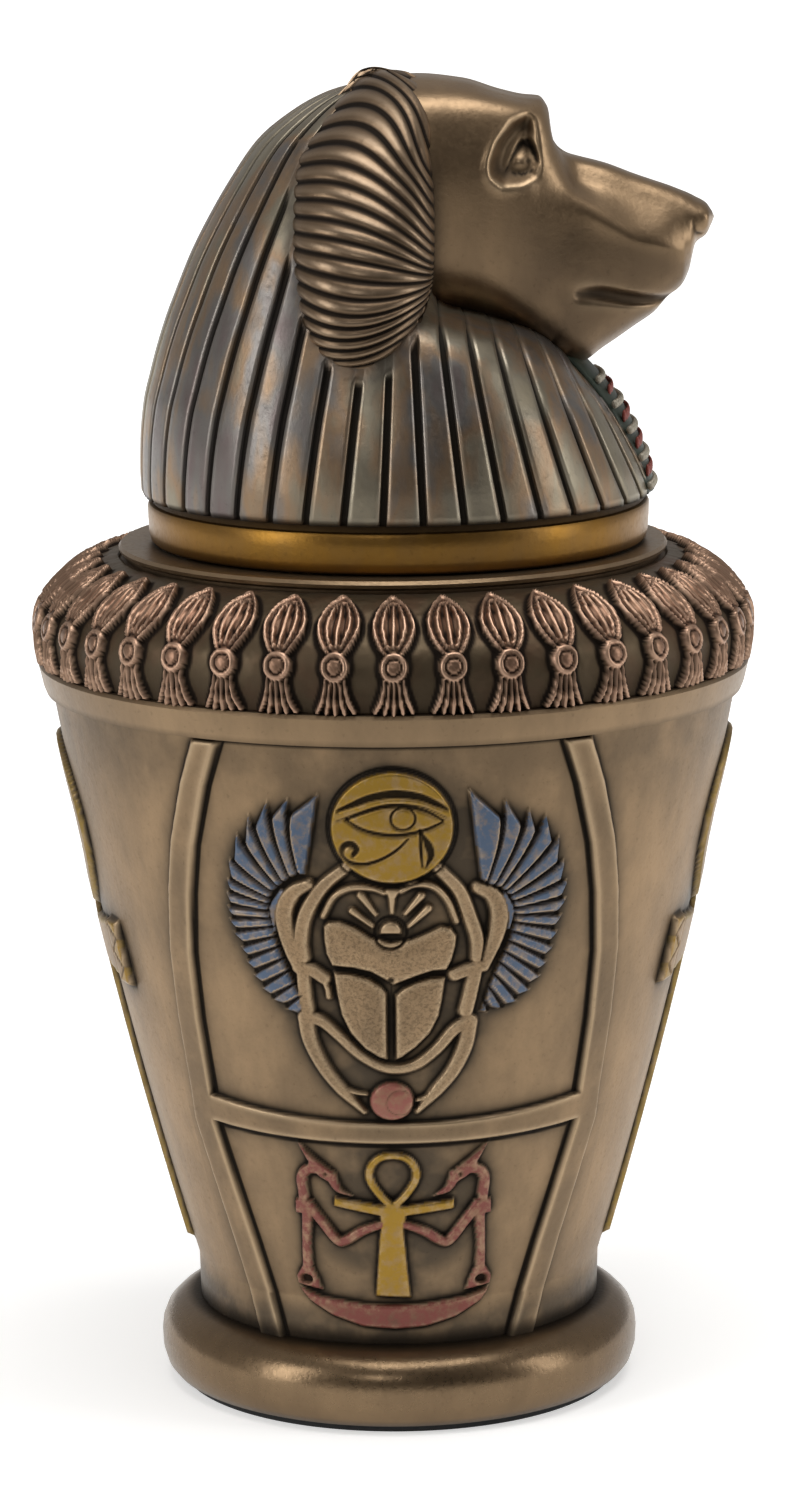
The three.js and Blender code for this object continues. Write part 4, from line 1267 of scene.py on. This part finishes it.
headSizes = {
    # forward place: the half outline from the top middle round to the bottom middle, (aside, height)
    "stations": [
        (-6.0, [(0, 178.6), (5.0, 178.2), (9.5, 175.0), (11.5, 168), (12.0, 161), (11.0, 155), (8.5, 152.0),
                (4.5, 151), (0, 151)]),
        (3.0, [(0, 179.5), (6.2, 179.0), (11.6, 176.0), (14.2, 168.5), (14.4, 160.5), (13.4, 154.2),
               (10.5, 150.6), (5.5, 149.0), (0, 148.6)]),
        (9.0, [(0, 178.8), (5.8, 178.5), (10.8, 175.8), (13.3, 169), (13.6, 161), (12.7, 154), (10.2, 150.2),
               (5.4, 147.6), (0, 147.0)]),
        (14.0, [(0, 177.2), (5.6, 177.1), (9.9, 175.2), (12.2, 169), (12.6, 161.3), (11.9, 153.6),
                (9.9, 149.3), (5.4, 146.0), (0, 145.2)]),
        (17.0, [(0, 176.5), (5.2, 176.4), (9.2, 174.4), (11.3, 167.6), (11.8, 161.0), (11.2, 153.4),
                (9.5, 147.9), (5.2, 144.2), (0, 143.2)]),
        (19.2, [(0, 176.3), (4.8, 176.1), (8.2, 173.4), (10.4, 165.8), (11.2, 160.4), (10.8, 153.1),
                (9.1, 146.6), (5.0, 142.8), (0, 141.8)]),
        (20.4, [(0, 175.0), (4.3, 174.4), (7.3, 171.0), (9.8, 164.5), (10.8, 160.1), (10.6, 152.9),
                (8.9, 145.9), (4.9, 142.2), (0, 141.4)]),
        (20.75, [(0, 172.0), (3.8, 171.4), (6.6, 168.2), (9.6, 164.1), (10.7, 160.0), (10.5, 152.8),
                 (8.8, 145.7), (4.9, 142.0), (0, 141.3)]),
        (21.2, [(0, 169.3), (3.4, 168.8), (6.1, 166.4), (9.4, 163.6), (10.5, 159.9), (10.4, 152.7),
                (8.6, 145.5), (4.8, 141.9), (0, 141.2)]),
        (24.2, [(0, 168.5), (3.2, 168.0), (5.7, 165.4), (8.9, 163.2), (9.7, 159.6), (9.7, 152.2),
                (8.0, 144.6), (4.5, 141.4), (0, 140.8)]),
        (28.0, [(0, 167.5), (3.1, 167.0), (5.5, 164.3), (8.6, 161.0), (9.1, 157.9), (8.8, 151.6),
                (7.0, 146.0), (4.0, 143.6), (0, 143.0)]),
        (32.0, [(0, 166.0), (2.9, 165.5), (5.2, 162.9), (8.0, 158.9), (8.5, 156.3), (7.9, 151.4),
                (5.9, 147.8), (3.4, 146.2), (0, 145.7)]),
        (34.6, [(0, 165.1), (2.9, 164.6), (5.0, 162.1), (7.6, 158.1), (7.9, 155.8), (7.1, 151.8),
                (5.0, 149.0), (3.0, 147.9), (0, 147.5)]),
        (36.4, [(0, 164.5), (2.8, 164.0), (4.9, 161.6), (7.1, 157.6), (7.3, 155.6), (6.4, 152.2),
                (4.4, 150.2), (2.8, 149.8), (0, 149.6)]),
        (38.2, [(0, 163.8), (2.8, 163.3), (4.7, 161.1), (6.2, 157.5), (6.3, 155.6), (5.2, 152.8),
                (3.6, 151.6), (2.2, 151.2), (0, 151.0)]),
        (39.2, [(0, 163.4), (2.7, 162.9), (4.5, 161.0), (5.3, 158.0), (5.1, 156.2), (4.0, 154.4),
                (2.8, 153.4), (1.6, 153.0), (0, 152.8)]),
        (40.2, [(0, 162.9), (2.6, 162.4), (4.2, 161.1), (4.6, 159.6), (4.2, 158.4), (3.3, 157.6),
                (2.2, 157.1), (1.2, 156.8), (0, 156.7)]),
        (41.6, [(0, 162.1), (2.2, 161.8), (3.5, 161.1), (3.9, 160.2), (3.5, 159.2), (2.6, 158.5),
                (1.8, 158.1), (0.9, 157.9), (0, 157.8)]),
        (42.4, [(0, 161.0), (0.9, 160.9), (1.5, 160.7), (1.7, 160.3), (1.5, 159.9), (1.1, 159.6),
                (0.8, 159.5), (0.4, 159.4), (0, 159.4)]),
    ],
    "rows": [(-6, 10.8, 0.6), (10.8, 19.2, 0.21), (19.2, 21.8, 0.13), (21.8, 24.2, 0.24), (24.2, 38.0, 0.345),
             (38.0, 42.4, 0.16)],
    "steps": 19,
    "ends": [(-6, 165.0), (42.75, 160.2)],
    "socket": [(17.6, 175.0), (15.2, 174.0), (13.1, 171.4), (12.1, 168.6), (12.3, 166.6), (14.0, 165.3),
               (16.6, 165.4),
               (18.8, 166.4), (19.3, 168.4), (18.9, 171.5), (18.6, 174.2)],
    "socketDepth": 2.5,
    "lidLine": [(14.6, 167.3), (15.6, 169.4), (16.9, 171.0), (18.1, 170.2), (18.8, 168.3)],
    "eye": ((17.0, 168.4), (1.5, 1.15)),
    "mouth": [(24.0, 150.8), (27.0, 150.7), (31.0, 149.9), (34.6, 149.6), (38.0, 149.9)],
    "nostril": [(39.6, 160.2), (39.9, 158.6), (40.8, 158.2)],
}


def carveFace(face):
    sizes = headSizes

    def swell(distance, edge, offset, height):
        face["height"] = face["height"] + height * smoothStep(-distance / edge + offset)

    socket = plate(face, sizes["socket"])
    swell(socket, 2.0, 0.1, -sizes["socketDepth"])
    swell(curvedStroke(face, sizes["socket"][1:7], [0.1, 0.6, 0.95, 0.9, 0.4], 4), 1.0, 0.2, 0.45)
    ball = oval(face, *sizes["eye"])
    swell(ball, 1.2, 0.25, 0.85)
    atLeast(face, "ink", 0.9 * smoothStep(-oval(face, (17.5, 168.5), (0.5, 0.5)) / 0.3))
    # painted shade inside the eye socket, round the eyeball
    atLeast(face, "ink", 0.2 * smoothStep(-socket / 1.2) * smoothStep(ball / 0.6))
    lidLine = curveThrough(sizes["lidLine"], 5)
    upper = [(x, z + 0.75) for x, z in lidLine]
    swell(stroke(face, upper, [0.25, 0.45, 0.5, 0.4, 0.2]), 0.5, 0.2, 0.7)
    groove(face, stroke(face, lidLine, [0.12, 0.26, 0.42, 0.5, 0.2]), 0.7, 0.35)
    groove(face, stroke(face, [(14.8, 167.1), (16.8, 166.8), (18.7, 167.5)], [0.1, 0.2, 0.1]), 0.4)
    slit = curvedStroke(face, sizes["mouth"], [0.4, 0.85, 0.85, 0.7, 0.5], 4)
    swell(slit, 0.5, 0.3, -1.2)
    # painted shade inside the mouth slit
    atLeast(face, "ink", smoothStep(-slit / 0.4 + 0.25) * 0.3)
    groove(face, curvedStroke(face, sizes["nostril"], [0.1, 0.28, 0.2], 4), 0.6, 0.4)


def makeHead():
    sizes = headSizes
    places = [place for place, _ in sizes["stations"]]
    table = np.array([np.array(outline).ravel() for _, outline in sizes["stations"]])
    runs = [np.arange(start, end - 0.5 * step, step) for start, end, step in sizes["rows"]]
    forward = np.concatenate(runs + [places[-1:]])
    outlines = steadyCurve(places, table, forward).reshape(len(forward), -1, 2)
    # the brow's step, at 20 to 22 forward, is left out of the outline's lower part
    calm = [i for i, place in enumerate(places) if not 20 < place < 22]
    runOn = steadyCurve([places[i] for i in calm], table[calm], forward).reshape(len(forward), -1, 2)
    outlines[:, 3:] = runOn[:, 3:]
    outlines[:, 2] = 0.1 * outlines[:, 2] + 0.9 * runOn[:, 2]
    outlines[:, 1] = 0.7 * outlines[:, 1] + 0.3 * runOn[:, 1]
    ridge = smoothStep((forward - 21.0) / 6) * smoothStep((38.5 - forward) / 3)
    outlines[:, 3, 0] += 0.26 * ridge      # the ridge along each side of the muzzle
    outlines[:, 5, 0] -= 0.12 * ridge
    loop = np.concatenate([outlines, outlines[:, -2:0:-1] * np.array([-1, 1])], 1)
    t = (np.arange(sizes["steps"]) / sizes["steps"])[None, None, :, None]
    a, b, c, d = (np.roll(loop, shift, 1)[:, :, None] for shift in (1, 0, -1, -2))
    smooth = between(a, b, c, d, t)
    aside, height = np.moveaxis(smooth.reshape(len(forward), -1, 2), -1, 0)
    x = np.repeat(forward[:, None], height.shape[1], 1)
    face = newFace(x, height)
    carveFace(face)
    facing = smoothStep((np.abs(aside) - 1.5) / 3.0)
    relief = blurred(face["height"], 1.1, 1.1) * facing
    near, wide = blurred(relief, 2.0, 2.0), blurred(relief, 6.0, 6.0)
    hollow = unit((near - relief) / 0.5) * 0.6 + unit((wide - relief) / 2.4) * 0.4
    hollow = hollow + face["ink"] * 0.8 * facing
    # painted shade under the jaw, where the head meets the wig
    shadeUnderJaw = unit((149.5 - height) / 6) * unit((26 - x) / 8)
    belowCrown = unit((171 - height) / 5)
    # painted shade at the back of the face, where it runs in under the hair rolls
    hairline = unit((6.9 - x) / 1.6) * belowCrown
    cheek = smoothStep((np.interp(x, (18, 40), (163.2, 157.0)) - height) / 4) * smoothStep((x - 12) / 9)
    marks = np.zeros(x.shape + (4,))
    marks[..., 0] = np.maximum(unit(hollow), 0.1 * shadeUnderJaw ** 2 + 0.6 * unit(5.6 - x) * belowCrown)
    marks[..., 1] = unit((relief - near) / 0.35) * 0.6
    marks[..., 2] = unit(0.6 * shadeUnderJaw + 0.7 * hairline + 0.7 * cheek)
    points = np.stack([x + lidSizes["shift"], aside + np.sign(aside) * relief, height], -1)
    ends = [[place + lidSizes["shift"], 0, z] for place, z in sizes["ends"]]
    return makePiece("baboonHead", tubeMesh("baboonHead", points, marks, ends), "head", "lid")


collarSizes = {
    # reach forward of the lid's axis and height
    "front": [(34.75, 123.9), (34.35, 126.0), (33.4, 129.0), (31.9, 132.5), (30.2, 135.6), (28.1, 138.4),
              (25.9, 140.9),
              (24.2, 142.4)],
    "halfTurn": 15.0,                  # degrees
    "thick": 1.6,
    "beadRows": [1.0, 5.0, 9.0, 13.0, 17.0],      # along the front from the bottom
    "patchRows": [3.0, 7.0, 11.0, 15.0],
    "pitch": 1.55,
    "bead": (0.5, 0.52, 0.6),
    "patch": (0.3, 0.45, 0.85),
}


def makeCollar():
    sizes = collarSizes
    line = np.array(curveThrough(sizes["front"], 5))
    half = math.radians(sizes["halfTurn"])
    turns = np.linspace(-half, half, 33)
    sink = 0.9 * (np.abs(turns) / half) ** 6
    axis = np.array([lidSizes["shift"], 0, 0])
    outer, inner = (onRing(line[:, :1] - deep, turns, line[:, 1:]) + axis for deep in (sink, sizes["thick"]))
    index = np.arange(outer[..., 0].size).reshape(outer.shape[:2])
    back = index + index.size
    faces = gridFaces(index) + gridFaces(back[::-1])
    for a, b in ((index[0, ::-1], back[0, ::-1]), (index[-1], back[-1]), (index[:, 0], back[:, 0]),
                 (index[::-1, -1], back[::-1, -1])):
        faces += gridFaces(np.stack([a, b]))
    mesh = makeMesh("collarPlate", joined(outer, inner, 3), faces, np.zeros((2 * index.size, 4)))
    makePiece("collarPlate", mesh, "collarGround", "lid")
    lengths = lineLengths(line)
    tree = beadTree()
    for name, rowPlaces, reach, finish, shift in (
        ("collarBeads", sizes["beadRows"], sizes["bead"], "collarBead", 0),
        ("collarPatches", sizes["patchRows"], sizes["patch"], "collarRed", 0.5),
    ):
        points = []
        for place in rowPlaces:
            r, z = (np.interp(place, lengths, column) for column in line.T)
            count = int(half * r / sizes["pitch"])
            for k in range(-count, count + 1 - int(shift > 0)):
                angle = (k + shift) * sizes["pitch"] / r
                points.append(((r + 0.1) * math.cos(angle) + axis[0], (r + 0.1) * math.sin(angle), z))
        mesh = bpy.data.meshes.new(name + "Places")
        mesh.from_pydata((np.array(points) * mm).tolist(), [], [])
        values = {"Reach": [value * mm for value in reach], "Axis": axis[0] * mm, "Finish": finishes[finish]}
        applyTree(name, mesh, tree, values, "lid")


def beadTree():
    # one small bead at each point, turned to face away from the lid's axis
    tree, given = newRepeatTree("beads", {
        "Reach": ("Vector", (0.0006, 0.0006, 0.0006)), "Axis": ("Float", 0.0),
    })
    ball = addNode(tree, "GeometryNodeMeshIcoSphere", {"Radius": 1, "Subdivisions": 3})
    places = addNode(tree, "GeometryNodeMeshToPoints", {0: given["Geometry"]})
    position = addNode(tree, "GeometryNodeInputPosition").outputs[0]
    spot = addNode(tree, "ShaderNodeSeparateXYZ", {0: position}).outputs
    turn = plus(tree, spot["Y"], minus(tree, spot["X"], given["Axis"]), operation="ARCTAN2")
    beads = repeated(tree, places.outputs[0], ball.outputs[0], turn, Scale=given["Reach"])
    smooth = addNode(tree, "GeometryNodeSetShadeSmooth", {0: beads})
    coated(tree, given, smooth.outputs[0])
    return tree


# the list says how dark each ring is: painted shade under the band's step and on its top under the wig
turnedPiece("lidBand", lidSizes["band"], 200, "gold", "lid",
            [0, 0, 0, 0.3, 0.85, 0.35, 0, 0, 0, 0.15, 0.85, 1, 1], shift=lidSizes["shift"])
makeWig()
makeRoll("hairRollNear", -1)
makeRoll("hairRollFar", 1)
makeHead()
makeCollar()
print("lid carved")

feltSizes = {"profile": [(0, 0.0), (30.2, 0.0), (30.3, 0.1), (30.3, 0.7), (30.2, 0.8), (0, 0.8)]}
turnedPiece("feltPad", feltSizes["profile"], 160, "felt", "felt_pad")
